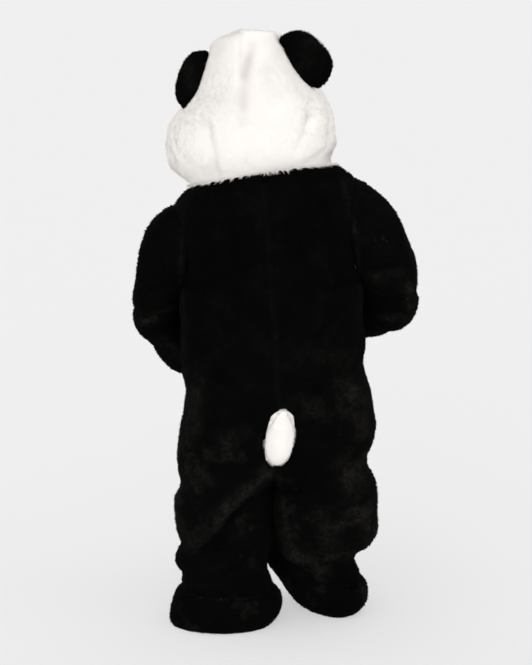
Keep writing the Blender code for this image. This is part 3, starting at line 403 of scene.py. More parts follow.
def bent(f, start, leave, end, arrive):
    """The place a share f along a cubic that leaves its start and arrives at its end along two vectors."""
    out, back = (1 - f) ** 2, f * f
    return start * (1 + 2 * f) * out + leave * f * out + end * back * (3 - 2 * f) + arrive * back * (f - 1)


def smooth(keys, values, at):
    """A curve through the values at the rising keys, read at the numbers in at."""
    at = np.clip(np.asarray(at, float), keys[0], keys[-1])
    slopes = np.gradient(values, keys, axis=0)
    i = np.clip(np.searchsorted(keys, at, side="right") - 1, 0, len(keys) - 2)
    step = (keys[i + 1] - keys[i])[..., None]
    f = (at - keys[i])[..., None] / step
    return bent(f, values[i], slopes[i] * step, values[i + 1], slopes[i + 1] * step)


def columns(table, at):
    """Each column but the first of a table, read at the numbers in at."""
    return np.moveaxis(smooth(table[:, 0], table[:, 1:], at), -1, 0)


def ease(f):
    """0 to 1, level at both ends."""
    f = np.clip(f, 0.0, 1.0)
    return f * f * (3 - 2 * f)


def bell(away, width):
    """1 at no distance, and next to nothing at twice the width."""
    return np.exp(-((away / width) ** 2))


def unit(v):
    return v / np.maximum(np.linalg.norm(v, axis=-1, keepdims=True), 1e-12)


def dot(a, b):
    """The product of each row of a with that of b, as a column."""
    return (a * b).sum(axis=-1, keepdims=True)


def points(x, y, z):
    return np.stack(np.broadcast_arrays(x, y, z), axis=-1)


def spread(size, across, down):
    """Two grids of numbers, of so many rows and columns: one runs across, the other down."""
    return np.meshgrid(np.linspace(*across, size[1]), np.linspace(*down, size[0]))


def run(line):
    """How far along a line, or along each of a grid's columns, its points are."""
    steps = np.linalg.norm(np.diff(line, axis=0), axis=-1)
    return np.concatenate([np.zeros_like(steps[:1]), np.cumsum(steps, axis=0)])


def normals(surface, a, b, step_a, step_b, sign):
    """Outward unit normals of surface(a, b), by small steps either way."""
    along_a = surface(a + step_a, b) - surface(a - step_a, b)
    along_b = surface(a, b + step_b) - surface(a, b - step_b)
    return sign * unit(np.cross(along_a, along_b))


def folded(place, normal, folds):
    """How far the folds move each place along its normal."""
    total = np.zeros(place.shape[:-1])
    for fold in folds:
        axis, facing = VIEWS[fold.seen]
        here = np.stack([place[..., axis], place[..., 2]], axis=-1)
        start = np.array([fold.across, fold.up])
        along = np.array([fold.to_across, fold.to_up]) - start
        f = np.clip((here - start) @ along / (along @ along), 0, 1)
        away = np.linalg.norm(here - start - f[..., None] * along, axis=-1)
        total += fold.height * np.clip(normal @ np.array(facing) * 1.6, 0, 1) * bell(away, fold.width)
    return total


# ---------------------------------------------------------------- the body's shape

# s runs round half of a ring of the body: 0 at the centre back, 1 at the side seam, 2 at the front.
AT_SEAM = 1e-6  # nearer than this to a seam counts as on it
FOLDS_START = 0.008  # how far from the neck, ankle and hem the body's folds start


def from_middle(s):
    """How far round the ring a place is from the nearer of its ends."""
    return np.minimum(s, 2 - s)


def leg_share(half, drop):
    """0 where the body is one ring, 1 where it has parted into two legs: abruptly at the fork,
    smoothly away from it."""
    f = np.maximum((drop - SEAT) / (CROTCH - SEAT), 0)
    left = 1 - f * f
    round_off = (FORK_SOFTNESS * half) ** 2
    return 1 - np.sqrt(np.clip((left + np.sqrt(left * left + round_off**2)) / 2, 0, 1))


def section(side, drop):
    """A section's columns. Above the crotch both halves share all but the side seam."""
    own, other = (columns(BODY[k], drop) for k in (side, RIGHT if side == LEFT else LEFT))
    shared = (own + other) / 2
    shared[1] = own[1]
    return np.where(drop <= CROTCH, shared, own)


def ring(side, s, drop):
    """A point of the body before its folds."""
    s = np.clip(s, 0, 2)
    inner, outer, middle, back, front, skew = section(side, drop)
    half = from_middle(s)
    leg = leg_share(half, drop)
    depth = np.where(s <= 1, back - middle, front - middle)
    turn = half * np.pi / 2
    across = (1 - leg) * np.sin(turn) ** BOXY + leg * (1 - np.cos(2 * turn)) / 2
    deep = (1 - leg) * np.cos(turn) ** BOXY + leg * np.abs(np.sin(2 * turn)) ** BOXY
    zip_gap = ZIP_HALF * (1 - ease((drop - ZIP_END) / ZIP_CLOSES))
    gap = np.where(s <= 1, SEAM / 2, np.maximum(zip_gap, SEAM / 2)) * SIGN[side]
    x = inner + gap + (outer - inner - gap) * across
    y = middle + depth * deep + skew * (0.5 - across)
    fade = 1 - ease(drop / TILT_FADES)
    return points(x, y, -drop + fade * (NECK_PITCH * y - SHOULDER_TILT * (x - NECK_SEAM)))


def ring_normal(side, s, drop):
    """The body's outward normal. At the centre seams it lies in the seam, as a mitre does."""
    n = normals(lambda a, b: ring(side, a, b), s, drop, 1e-3, 5e-4, SIGN[side])
    at_end = from_middle(s) < AT_SEAM
    n[..., 0] = np.where(at_end & (drop < CROTCH - AT_SEAM), 0, n[..., 0])
    n[..., 1] = np.where(at_end & (drop > CROTCH + AT_SEAM), 0, n[..., 1])
    n[(from_middle(s) < 1e-2) & (np.abs(drop - CROTCH) < AT_SEAM)] = (-SIGN[side], 0, -1)
    n[..., 2] = np.where((drop > HEM - AT_SEAM) | (np.abs(drop - ANKLE) < 1e-3), 0, n[..., 2])
    return unit(n)


def body(side, s, drop):
    """(points, normals) of the body's outer surface."""
    s, drop = np.broadcast_arrays(np.asarray(s, float), np.asarray(drop, float))
    place, n = ring(side, s, drop), ring_normal(side, s, drop)
    near = np.minimum(np.minimum(np.abs(drop - ANKLE), HEM - drop), drop)
    return place + n * ((1 - bell(near, FOLDS_START)) * folded(place, n, BODY_FOLDS))[..., None], n


def armhole_reach(drop):
    """Half the armhole's width at a drop, in the units of s."""
    return ARMHOLE_REACH * np.sqrt(np.clip(1 - ((drop - ARMHOLE_MIDDLE) / ARMHOLE_HALF) ** 2, 0, 1))


# ---------------------------------------------------------------- the sleeves' shape


def sleeve_frames(side, count=111):
    """Places along a sleeve with its tangent, its upper or outer direction and the third one."""
    shares = np.linspace(0, SLEEVE[side][-1, 0], count)
    centre = np.moveaxis(columns(SLEEVE[side], shares)[:3], 0, -1)
    tangent = unit(np.gradient(centre, axis=0))
    up = [unit(np.array([0.0, 0.0, 1.0]) - tangent[0][2] * tangent[0])]
    for t in tangent[1:]:
        up.append(unit(up[-1] - (up[-1] @ t) * t))
    up = np.array(up)
    return shares, np.stack([tangent, up, np.cross(tangent, up)], axis=1).reshape(count, 9)


FRAMES = {side: sleeve_frames(side) for side in SIGN}


def armhole(side, turn):
    """(points, normals) of the body round the armhole: turn is 0 at the shoulder, pi/2 behind."""
    return body(side, 1 - ARMHOLE_REACH * np.sin(turn), ARMHOLE_MIDDLE - ARMHOLE_HALF * np.cos(turn))


def arm_ring(side, turn, share):
    """A point of a plain tube along the sleeve's line."""
    x, y, z, wide, deep = columns(SLEEVE[side], share)
    axes = smooth(*FRAMES[side], share).reshape(np.shape(share) + (3, 3))
    flat = points(0 * wide, wide * np.cos(turn), -SIGN[side] * deep * np.sin(turn))
    return points(x, y, z) + np.einsum("...i,...ij->...j", flat, axes)


def sleeve_ring(side, turn, share):
    """A point of a sleeve before its folds: a curve from the armhole runs on into the tube."""
    start = armhole(side, turn)[0]
    end = arm_ring(side, turn, SLEEVE_HEAD + 0 * share)
    reach = np.linalg.norm(end - start, axis=-1, keepdims=True)
    top = np.cos(turn)
    lead = unit(points(SIGN[side] * (0.60 + 0.30 * top), 0.12 * np.sin(turn), 0.27 * top - 0.70))
    onward = smooth(*FRAMES[side], SLEEVE_HEAD).reshape(3, 3)[0]
    q = np.clip(share / SLEEVE_HEAD, 0, 1)[..., None]
    head = bent(q, start, lead * reach * SLEEVE_SPRING, end, onward * reach)
    tube = arm_ring(side, turn, np.maximum(share, SLEEVE_HEAD))
    return np.where(q < 1, head, tube)


def sleeve(side, turn, share, gathers=0):
    """(points, normals) of a sleeve's outer surface, with gathers on a cuff."""
    turn, share = np.broadcast_arrays(np.asarray(turn, float), np.asarray(share, float))
    place = sleeve_ring(side, turn, share)
    n = normals(lambda a, b: sleeve_ring(side, a, b), turn, share, 1e-3, 2e-3, -SIGN[side])
    height = folded(place, n, SLEEVE_FOLDS) * ease(share / 0.15) * ease((1 - share) / 0.1)
    if gathers:
        height = height + GATHER_HIGH * np.cos(gathers * turn)
    return place + n * height[..., None], n


# ---------------------------------------------------------------- the hood's shape

HEAD = np.array(Matrix.Rotation(HEAD_TURN, 3, "Z") @ Matrix.Rotation(HEAD_ROLL, 3, "Y"))


def hood_ring(side, u, rise):
    """A point of the hood before its folds: u is 0 at the centre back and 1 at the face."""
    u = np.clip(u, 0, 1)
    rise = np.clip(rise, 0, 1)
    left, right, seam, back_y, back_z, edge_x, edge_y, edge_z = columns(HOOD, rise)
    wide = np.maximum((left - seam) if side == LEFT else (right + seam), 0)
    edge = edge_x + SIGN[side] * (1 - rise) * ((left - right) / 2 - seam)
    last = np.pi - np.arcsin(np.clip(edge / np.maximum(wide, 1e-6), 0, 1))
    turn = u * last
    depth = (back_y - edge_y) / (1 - np.cos(last))
    f = (1 - np.cos(turn)) / (1 - np.cos(last))
    x = SIGN[side] * (wide * np.sin(turn) + SEAM * 0.65) + seam
    y = back_y - depth * (1 - np.cos(turn))
    z = back_z + (edge_z - back_z) * f ** (1 + 1.6 * rise)
    head = points(x, y, z) @ HEAD.T + np.array([NECK_SEAM, 0, 0])
    neck = ring(side, 2 * u, np.zeros_like(u))
    w = ease(rise / 0.12)[..., None]
    return (1 - w) * neck + w * head


def hood(side, u, rise):
    """(points, normals) of the hood's outer surface."""
    u, rise = np.broadcast_arrays(np.asarray(u, float), np.asarray(rise, float))
    place = hood_ring(side, u, rise)
    inside_u, inside_rise = np.clip(u, 0.02, 0.98), np.clip(rise, 0.004, 0.985)
    n = normals(lambda a, b: hood_ring(side, a, b), inside_u, inside_rise, 1e-3, 2e-3, -SIGN[side])
    at_seam = ((u < AT_SEAM) | (rise > 1 - AT_SEAM))[..., None]
    across = HEAD[:, 0]
    n = unit(np.where(at_seam, n - (n @ across)[..., None] * across, n))
    height = folded(place, n, HOOD_FOLDS) * ease(rise / 0.1)
    return place + n * height[..., None], n


# ---------------------------------------------------------------- finer form of the cloth

# A kind of plush: the pile's length; how far below the garment's form it starts and how tall its
# tufts are, both in lengths; how much they vary and stray; how much they take the light as the cloth
# under them would, and how much of that is evened out, as deep white fur does; how far the nap is
# brushed about; its stray fibres to the square metre; and the whole wall.
Plush = namedtuple("Plush", "length foot tall vary stray even soften brushed fibres wall")

PLUSH = {
    "black": Plush(0.0040, 0.50, 0.60, 0.60, 0.16, 0.80, 0.0, 0.40, 9000, BODY_WALL),
    "white": Plush(0.0048, 0.15, 0.24, 0.14, 0.05, 0.97, 0.70, 0.03, 60000, HOOD_WALL),
}

RUMPLES = ((0.0011, 0.045, 0), (0.0006, 0.017, 7))  # the cloth's soft bumps: height, size and seed
QUIET_EDGE = 0.006  # folds fade out this near to a piece's edges
VALLEY_DEEP, VALLEY_ROUGH, VALLEY_WIDE = 0.0006, 0.0012, 0.0045  # along a seam, deeper in rough cloth
MITRE_REACH = 0.007
PAINTED_SHEEN_FROM, PAINTED_SHEEN_OVER = -0.20, 0.24  # the height from which the black is painted lighter, a painted sheen, and over how far
STRAND_STRAY = 0.22
FUZZ_WIDE, FUZZ_ROOT = 0.0004, 0.001
THIRDS = (0, 2.094, 4.189)  # of a turn
MITRE_LIMIT = 0.72  # keeps the meeting of two walls at a sharp angle from growing long


def lattice(i, j, k, seed):
    """A number from 0 to 1 for each whole-number place, always the same one."""
    n = (i * 73856093) ^ (j * 19349663) ^ (k * 83492791) ^ (seed * 2654435)
    n = (n ^ (n >> 13)) * 1274126177 & 0x7FFFFFFF
    return ((n ^ (n >> 16)) & 0xFFFF) / 65535.0


def rumple(place, size, seed):
    """Smooth noise from -1 to 1 with bumps of a size."""
    p = place / size + 1000.0
    cell = np.floor(p).astype(np.int64)
    f = p - cell
    f = f * f * (3 - 2 * f)
    total = 0
    for corner in range(8):
        d = np.array([corner & 1, (corner >> 1) & 1, corner >> 2])
        weight = np.prod(np.where(d == 1, f, 1 - f), axis=-1)
        total = total + weight * lattice(*np.moveaxis(cell + d, -1, 0), seed)
    return 2 * total - 1


def grid_normals(grid, like):
    """Unit normals of a grid of points, on the side of the vectors in like."""
    n = unit(np.cross(np.gradient(grid, axis=0), np.gradient(grid, axis=1)))
    flip = np.sign(dot(n, like))
    return n * np.where(flip == 0, 1, flip)


def from_edge(grid, edge):
    """A view of a grid whose rows run in from one of its edges."""
    turned = grid if edge in ("top", "bottom") else grid.swapaxes(0, 1)
    return turned if edge in ("top", "start") else turned[::-1]


def edge_distance(grid, sides):
    """How far each point of a grid lies from the nearest of its edges named in sides."""
    down, across = run(grid), run(grid.swapaxes(0, 1)).T
    far = {"top": down, "bottom": down[-1:] - down, "start": across, "end": across[:, -1:] - across}
    return np.min([far[side] for side in sides], axis=0)


def worked(grid, normal, folds, seams, seed, rough=1.0):
    """A grid with its fine creases, a soft rumple, and a valley along each seam."""
    height = folded(grid, normal, folds)
    height += rough * sum(high * rumple(grid, size, seed + more) for high, size, more in RUMPLES)
    height *= 1 - bell(edge_distance(grid, ("top", "bottom", "start", "end")), QUIET_EDGE)
    height -= (VALLEY_DEEP + VALLEY_ROUGH * rough) * bell(edge_distance(grid, seams), VALLEY_WIDE)
    return grid + normal * height[..., None]


def mitred(normal, grid, edge, ways):
    """Directions out of the cloth that turn to the given ones along an edge of the grid."""
    w = bell(edge_distance(grid, (edge,)), MITRE_REACH)[..., None]
    blended = normal * (1 - w) + np.expand_dims(ways, 1 if edge == "end" else 0) * w
    from_edge(blended, edge)[0] = ways
    return blended


def mitre(n, m):
    """The direction and length in which two walls of unit thickness meet."""
    middle = unit(n + m)
    return middle / np.maximum(dot(middle, n), MITRE_LIMIT)


def lapped(grid, **reaches):
    """A grid with the edges named carried on a little way under the neighbouring piece."""
    grid = grid.copy()
    for edge, reach in reaches.items():
        row = from_edge(grid, edge)
        row[0] += unit(row[0] - row[3]) * np.reshape(reach, (-1, 1))
    return grid


# ---------------------------------------------------------------- meshes


def linked(name, data):
    """A new object in the scene."""
    obj = bpy.data.objects.new(name, data)
    bpy.context.scene.collection.objects.link(obj)
    return obj


def owned(obj, body_name):
    """A piece that rides a body."""
    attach(obj, body_name)
    return obj


def mesh_of(name, verts, faces, material, uv=None, smooth_shading=True, lean=None, nap_and_painted_light=None):
    """An object from arrays of points and triangles or quads, with uv as one place for each point.
    lean is (share, directions): what part of each point's shading turns to which direction. The last
    argument is the pile's painted light and shade at each point, from 0 to 1."""
    mesh = bpy.data.meshes.new(name)
    count, corners = faces.shape
    verts = np.maximum(verts, [-1, -1, CAD_BOX[0][2]])  # the hems stand on the floor
    mesh.vertices.add(len(verts))
    mesh.vertices.foreach_set("co", np.ascontiguousarray(verts, np.float32).ravel())
    mesh.loops.add(count * corners)
    mesh.loops.foreach_set("vertex_index", np.ascontiguousarray(faces, np.int32).ravel())
    mesh.polygons.add(count)
    mesh.polygons.foreach_set("loop_start", np.arange(count, dtype=np.int32) * corners)
    mesh.polygons.foreach_set("use_smooth", np.full(count, smooth_shading))
    uv = np.full((len(verts), 2), 0.5) if uv is None else uv
    layer = mesh.uv_layers.new(name="OFBake")
    layer.data.foreach_set("uv", np.ascontiguousarray(uv[faces.ravel()], np.float32).ravel())
    mesh.update(calc_edges=True)
    mesh.validate()
    if lean is not None:
        share, ways = lean
        own = np.empty(len(verts) * 3)
        mesh.vertices.foreach_get("normal", own)
        mesh.normals_split_custom_set_from_vertices(unit(own.reshape(-1, 3) * (1 - share) + ways * share))
    if nap_and_painted_light is not None:
        mesh.attributes.new("nap_and_painted_light", "FLOAT", "POINT").data.foreach_set("value", nap_and_painted_light.astype(np.float32))
    mesh.materials.append(material)
    return linked(name, mesh)


def numbered(rows, cols):
    """The numbers of a grid's points, row by row."""
    return np.arange(rows * cols).reshape(rows, cols)


def squares(index):
    """The four corners of each square of a grid of point numbers."""
    return index[:-1, :-1], index[:-1, 1:], index[1:, 1:], index[1:, :-1]


def flat_map(rows, cols, wide=0.99):
    """A place on the map for each point of a grid."""
    return np.stack(spread((rows, cols), (0.01, wide), (0.01, 0.99)), axis=-1).reshape(-1, 2)


def backing(name, grid, normal, sink, thick, material, closed=False):
    """The knitted back of the plush: a thin closed sheet that lies sink below the grid."""
    if closed:
        grid, normal = grid[:, :-1], normal[:, :-1]
    rows, cols = grid.shape[:2]
    outer = grid - normal * sink
    inner = outer - normal * thick
    count = rows * cols
    index = numbered(rows, cols)
    if closed:
        index = np.concatenate([index, index[:, :1]], axis=1)
    front = np.stack(squares(index), axis=-1).reshape(-1, 4)
    faces = [front, front[:, ::-1] + count]
    edges = [index[0], index[-1, ::-1]]
    if not closed:
        edges += [index[::-1, 0], index[:, -1]]
    for edge in edges:
        faces.append(np.stack([edge[1:], edge[:-1], edge[:-1] + count, edge[1:] + count], axis=-1))
    faces = np.concatenate(faces)
    verts = np.concatenate([outer.reshape(-1, 3), inner.reshape(-1, 3)])
    middle = front[len(front) // 2]
    across = np.cross(verts[middle[2]] - verts[middle[0]], verts[middle[3]] - verts[middle[1]])
    if across @ normal.reshape(-1, 3)[middle[0]] < 0:
        faces = faces[:, ::-1]
    uv = flat_map(rows, cols, 0.49)
    return mesh_of(name, verts, faces, material, np.concatenate([uv, uv + [0.5, 0]]))


def painted_light_and_shade_of(kind, place, normal):
    """The pile's painted light and shade at each place, from 0 to 1; the black's painted sheen grows
    downwards.
    """
    if kind == "white":
        return np.clip(1 - folded(place, normal, SHADE), 0, 1)
    # painted sheen: the black is painted lighter towards the feet, in mottled patches
    low = np.clip((PAINTED_SHEEN_FROM - place[..., 2]) / PAINTED_SHEEN_OVER, 0, 1)
    patch = rumple(place, 0.034, 5) + 0.7 * rumple(place, 0.014, 6) + 0.5 * rumple(place, 0.006, 7)
    patch = np.clip((patch - 0.1) / 0.9, 0, 1)
    # painted highlights and shade along the folds, ridges, elbows and ears
    brushed = folded(place, normal, PAINTED_LIGHT_AND_SHADE)
    return np.clip((0.1 + 0.7 * low) * patch + brushed * (0.55 + 0.45 * rumple(place, 0.010, 8)), 0, 1)


def pile(name, grid, normal, kind, lay, seed):
    """Tufts of pile on a grid: each triangle of the grid rises to a tip that leans along the nap."""
    rng = np.random.default_rng(seed)
    plush = PLUSH[kind]
    length = plush.length
    rows, cols = grid.shape[:2]
    foot = grid + normal * ((rng.random((rows, cols, 1)) - 0.5) * 0.4 * plush.vary - plush.foot) * length
    foot = foot.reshape(-1, 3)
    a, b, c, d = (corner.ravel() for corner in squares(numbered(rows, cols)))
    one = (rng.random(len(a)) < 0.5)[:, None]
    first = np.where(one, np.stack([a, b, c], axis=-1), np.stack([a, b, d], axis=-1))
    second = np.where(one, np.stack([a, c, d], axis=-1), np.stack([b, c, d], axis=-1))
    base = np.concatenate([first, second])
    corner, up = foot[base], unit(normal.reshape(-1, 3)[base].mean(axis=1))
    centre = corner.mean(axis=1)
    facing = unit(np.cross(corner[:, 1] - corner[:, 0], corner[:, 2] - corner[:, 0]))
    over = np.where(dot(facing, up) < 0, -1, 1)
    base = np.where(over < 0, base[:, ::-1], base)
    facing = facing * over

    nap_and_painted_light = lay.reshape(-1, 3)[base].mean(axis=1)
    nap_and_painted_light = nap_and_painted_light - dot(nap_and_painted_light, up) * up
    clump = 0.5 + 0.5 * rumple(centre, 0.006, seed + 3)
    tall = length * (plush.tall + plush.vary * (0.5 * clump + 0.5 * rng.random(len(centre))))
    stray = rng.normal(size=centre.shape) * length * plush.stray
    brush = length * plush.tall * (5 + 4 * rng.random((len(centre), 1))) / 6
    tip = up * tall[:, None] + nap_and_painted_light * brush + stray
    tip += facing * np.maximum(0.5 * plush.tall * length - dot(tip, facing), 0)
    verts = np.concatenate([foot, centre + tip])
    top = len(foot) + np.arange(len(base))
    faces = np.concatenate([np.stack([base[:, i], base[:, (i + 1) % 3], top], axis=-1) for i in range(3)])

    def with_tips(values):
        return np.concatenate([values, values[base].mean(axis=1)])

    brushed = points(*(rumple(grid, 0.022, seed + 20 + k) for k in range(3)))
    even = grid_normals(grid, normal) * (1 - plush.soften) + unit(normal) * plush.soften
    even = unit(even * np.array([1, 1, 1 - plush.soften]) + plush.brushed * brushed).reshape(-1, 3)
    # the painted light and shade of the pile, at its feet and tips
    nap_and_painted_light = with_tips(painted_light_and_shade_of(kind, grid, normal).ravel())
    return mesh_of(name, verts, faces, PILE[kind], with_tips(flat_map(rows, cols)),
                   lean=(plush.even, unit(with_tips(even))), nap_and_painted_light=nap_and_painted_light)


def strands(name, roots, ways, normal, length, width, kind, seed):
    """Single fibres: each is a three-sided spike from its root that takes the light as the cloth does."""
    rng = np.random.default_rng(seed)
    count = len(roots)
    long = (length * (0.5 + 0.7 * rng.random(count)))[:, None]
    way = unit(ways + rng.normal(size=roots.shape) * STRAND_STRAY)
    side = unit(np.cross(way, rng.normal(size=roots.shape)))
    other = np.cross(way, side)
    low = [roots + (side * math.cos(t) + other * math.sin(t)) * width / 2 for t in THIRDS]
    faces = np.array([(0, 1, 3), (1, 2, 3), (2, 0, 3)])[:, None] * count + np.arange(count)[:, None]
    # The fibres get none of the painted light or shade: the black ones stay dark, the white ones light.
    hair = mesh_of(name, np.concatenate(low + [roots + way * long]), faces.reshape(-1, 3), PILE[kind],
                   lean=(PLUSH[kind].even, np.tile(normal, (4, 1))),
                   nap_and_painted_light=np.full(4 * count, 0.0 if kind == "black" else 1.0))
    return owned(hair, "onesie")


def fuzz(name, grid, normal, lay, kind, area, seed):
    """Stray fibres scattered over a grid."""
    rng = np.random.default_rng(seed)
    count = int(area * PLUSH[kind].fibres)
    rows, cols = grid.shape[:2]
    r, c = rng.integers(1, rows - 1, count), rng.integers(1, cols - 1, count)
    roots = grid[r, c] + (grid[r - 1, c] - grid[r, c]) * rng.random((count, 1)) - normal[r, c] * FUZZ_ROOT
    ways = normal[r, c] + 0.9 * lay[r, c]
    return strands(name, roots, ways, normal[r, c], PLUSH[kind].length, FUZZ_WIDE, kind, seed)


def downward(grid, seed, wander):
    """The nap's direction: down the garment, wandering a little from place to place."""
    return unit(points(wander * rumple(grid, 0.050, seed), wander * rumple(grid, 0.050, seed + 1), -1.0))


# ---------------------------------------------------------------- materials


def put(tree, node, inputs):
    """Sets a node's inputs to numbers, or joins them to other nodes' outputs."""
    for name, value in inputs.items():
        socket = node.inputs[name.replace("_", " ")]
        if isinstance(value, bpy.types.NodeSocket):
            tree.links.new(value, socket)
        else:
            socket.default_value = value


def shading(tree, kind, **inputs):
    """A new shader node."""
    node = tree.nodes.new("ShaderNode" + kind)
    put(tree, node, inputs)
    return node


def noise(tree, place, scale, detail, roughness):
    node = shading(tree, "TexNoise", Vector=place, Scale=scale, Detail=detail, Roughness=roughness)
    return node.outputs["Fac"]


def ramp(tree, factor, low, high, start=0.3, end=0.7):
    node = shading(tree, "ValToRGB", Fac=factor)
    for element, position, colour in zip(node.color_ramp.elements, (start, end), (low, high)):
        element.position, element.color = position, (*colour, 1)
    return node.outputs["Color"]


def bump(tree, height, strength, distance):
    return shading(tree, "Bump", Height=height, Strength=strength, Distance=distance).outputs["Normal"]


def surface(name, **inputs):
    """(material, node tree, shader, place in metres) with the shader's own constants set."""
    material = bpy.data.materials.new(name)
    material.use_nodes = True
    tree = material.node_tree
    shader = tree.nodes["Principled BSDF"]
    put(tree, shader, {"Sheen_Roughness": 0.4} | inputs)
    return material, tree, shader, shading(tree, "TexCoord").outputs["Object"]


def plush_pile(name, dark, light, mottle, **inputs):
    """Pile from dark to light by its painted light and shade, in fibre clumps: mottle is the least share
    left.
    """
    material, tree, shader, place = surface(name, Sheen_Roughness=0.45, **inputs)
    nap_and_painted_light, times = shading(tree, "Attribute"), shading(tree, "Math")
    nap_and_painted_light.attribute_name = "nap_and_painted_light"
    times.operation = "MULTIPLY"
    clumps = ramp(tree, noise(tree, place, 190, 4.0, 0.6), (mottle,) * 3, (1, 1, 1), 0.36, 0.62)
    tree.links.new(nap_and_painted_light.outputs["Fac"], times.inputs[0])
    tree.links.new(clumps, times.inputs[1])
    fibre = noise(tree, place, 1400, 2.0, 0.6)
    put(tree, shader, {"Base_Color": ramp(tree, times.outputs["Value"], dark, light, 0.0, 1.0),
                       "Normal": bump(tree, fibre, 0.35, 0.0004)})
    return material


def knit_back(name, dark, light, sheen):
    """The plain knit on the inside of plush: fine courses."""
    material, tree, shader, place = surface(name, Roughness=0.9, Sheen_Weight=sheen)
    wave = shading(tree, "TexWave", Vector=place, Scale=160, Distortion=1.5, Detail=2)
    wave.bands_direction = "Z"
    put(tree, shader, {"Base_Color": ramp(tree, noise(tree, place, 120, 3.0, 0.5), dark, light),
                       "Normal": bump(tree, wave.outputs["Fac"], 0.4, 0.0004)})
    return material


def rib_knit(name, dark, light):
    """The wrist cuffs' ribs, which run along the arm: the map's u goes round the cuff."""
    material, tree, shader, _ = surface(name, Roughness=0.85, Sheen_Weight=0.03,
                                        Sheen_Tint=(0.9, 0.9, 0.95, 1), Specular_IOR_Level=0.02)
    uv = shading(tree, "UVMap")
    uv.uv_map = "OFBake"
    rib = shading(tree, "TexWave", Vector=uv.outputs["UV"], Scale=44, Distortion=0.6).outputs["Fac"]
    put(tree, shader, {"Base_Color": ramp(tree, rib, dark, light), "Normal": bump(tree, rib, 0.8, 0.0006)})
    return material


def woven_tape(name, dark, light):
    """The zip's tapes, in a fine plain weave."""
    material, tree, shader, place = surface(name, Roughness=0.75, Sheen_Weight=0.02, Specular_IOR_Level=0.12)
    weave = shading(tree, "TexChecker", Vector=place, Scale=1600).outputs["Fac"]
    put(tree, shader, {"Base_Color": ramp(tree, weave, dark, light, 0, 1),
                       "Normal": bump(tree, weave, 0.5, 0.0002)})
    return material


def worn(name, dark, light, roughness, metallic):
    """Moulded plastic or plated metal with a little wear in its gloss."""
    material, tree, shader, place = surface(name, Roughness=roughness, Metallic=metallic)
    put(tree, shader, {"Base_Color": ramp(tree, noise(tree, place, 300, 4.0, 0.6), dark, light),
                       "Normal": bump(tree, noise(tree, place, 900, 3.0, 0.5), 0.15, 0.0001)})
    return material


# The black's light colour is painted sheen and highlights; the white's dark colour is painted shade.
PILE = {
    "black": plush_pile("black_pile", (0.0026, 0.0026, 0.0025), (0.0165, 0.0158, 0.0142), 0.15, Roughness=0.6,
                        Specular_IOR_Level=0.004, Sheen_Weight=0.006, Sheen_Tint=(1, 0.97, 0.93, 1)),
    "white": plush_pile("white_pile", (0.76, 0.715, 0.69), (0.925, 0.893, 0.86), 0.94, Roughness=0.9,
                        Specular_IOR_Level=0.1, Sheen_Weight=0.04, Sheen_Tint=(1.0, 0.98, 0.95, 1)),
}
BACK = {
    "black": knit_back("black_backing", (0.0016, 0.0016, 0.0016), (0.0030, 0.0030, 0.0030), 0.01),
    "white": knit_back("white_backing", (0.90, 0.88, 0.84), (0.95, 0.93, 0.90), 0.02),
}
RIB = rib_knit("cuff_rib", (0.0022, 0.0022, 0.0024), (0.0065, 0.0064, 0.0070))
TAPE = woven_tape("zip_tape", (0.006, 0.006, 0.007), (0.013, 0.013, 0.014))
PLASTIC = worn("zip_teeth", (0.006, 0.006, 0.0065), (0.010, 0.010, 0.011), 0.42, 0.0)
METAL = worn("zip_metal", (0.035, 0.035, 0.038), (0.065, 0.065, 0.070), 0.32, 1.0)

# ---------------------------------------------------------------- the cloth pieces

PANEL_GRID, ANKLE_GRID, SLEEVE_GRID = (217, 82), (25, 205), (109, 109)  # rows and columns
HOOD_GRID, WRIST_GRID = (121, 109), (13, 161)
HOOD_EVEN_AT = 0.35  # where round the hood its rows are equally far apart
ROUND = (0, 2 * np.pi)
ROWS_A_BACKING = 3  # the backing has every third row and column of its pile
LAP, SLEEVE_LAP = 0.0004, 0.0032  # how far a piece runs on under its neighbour
PANEL_LAP, HOLE_LAP, NECK_LAP = 0.0005, 0.0016, 0.0006
UNDER_PILE = 0.0005
NEAR_SEAM = 0.03  # a share of a neighbouring piece, just far enough in for its own direction
KNIT_WALL, KNIT_UNDER, KNIT_SWELL = 0.0030, 0.0006, 0.0008
FRINGE_TUFTS, FRINGE_EACH = 150, 8  # tufts over half the neck seam, and fibres in each
FRINGE_SHORT, FRINGE_MORE, FRINGE_WIDE = 0.0050, 0.0045, 0.0008


def dress(node, grid, normal, kind, seed, area, closed=False, wander=0.45):
    """The backing, pile and stray fibres of one piece of plush, in the place of its CAD nodes."""
    plush = PLUSH[kind]
    foot = plush.length * plush.foot
    sparse = slice(None, None, ROWS_A_BACKING)
    cloth = backing(node + "_cloth", grid[sparse, sparse], normal[sparse, sparse], foot + UNDER_PILE,
                    plush.wall - foot, BACK[kind], closed)
    lay = downward(grid, seed + 11, wander)
    hair = pile(node + "_pile", grid, normal, kind, lay, seed)
    for obj in (cloth, hair):
        owned(obj, "onesie")
    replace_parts(cloth, *[name for name in NODES if name.startswith(node)])
    stray = fuzz(node + "_fuzz", grid, unit(normal), lay, kind, area, seed + 5)


def in_seam(s):
    """Factors that keep a direction in the middle plane at the garment's middle seams."""
    return np.where((from_middle(s) < AT_SEAM)[:, None], np.array([0.0, 1.0, 1.0]), 1.0)


def close_tube(grid, normal):
    """The last column of a tube's grid is its first again."""
    grid[:, -1], normal[:, -1] = grid[:, 0], normal[:, 0]


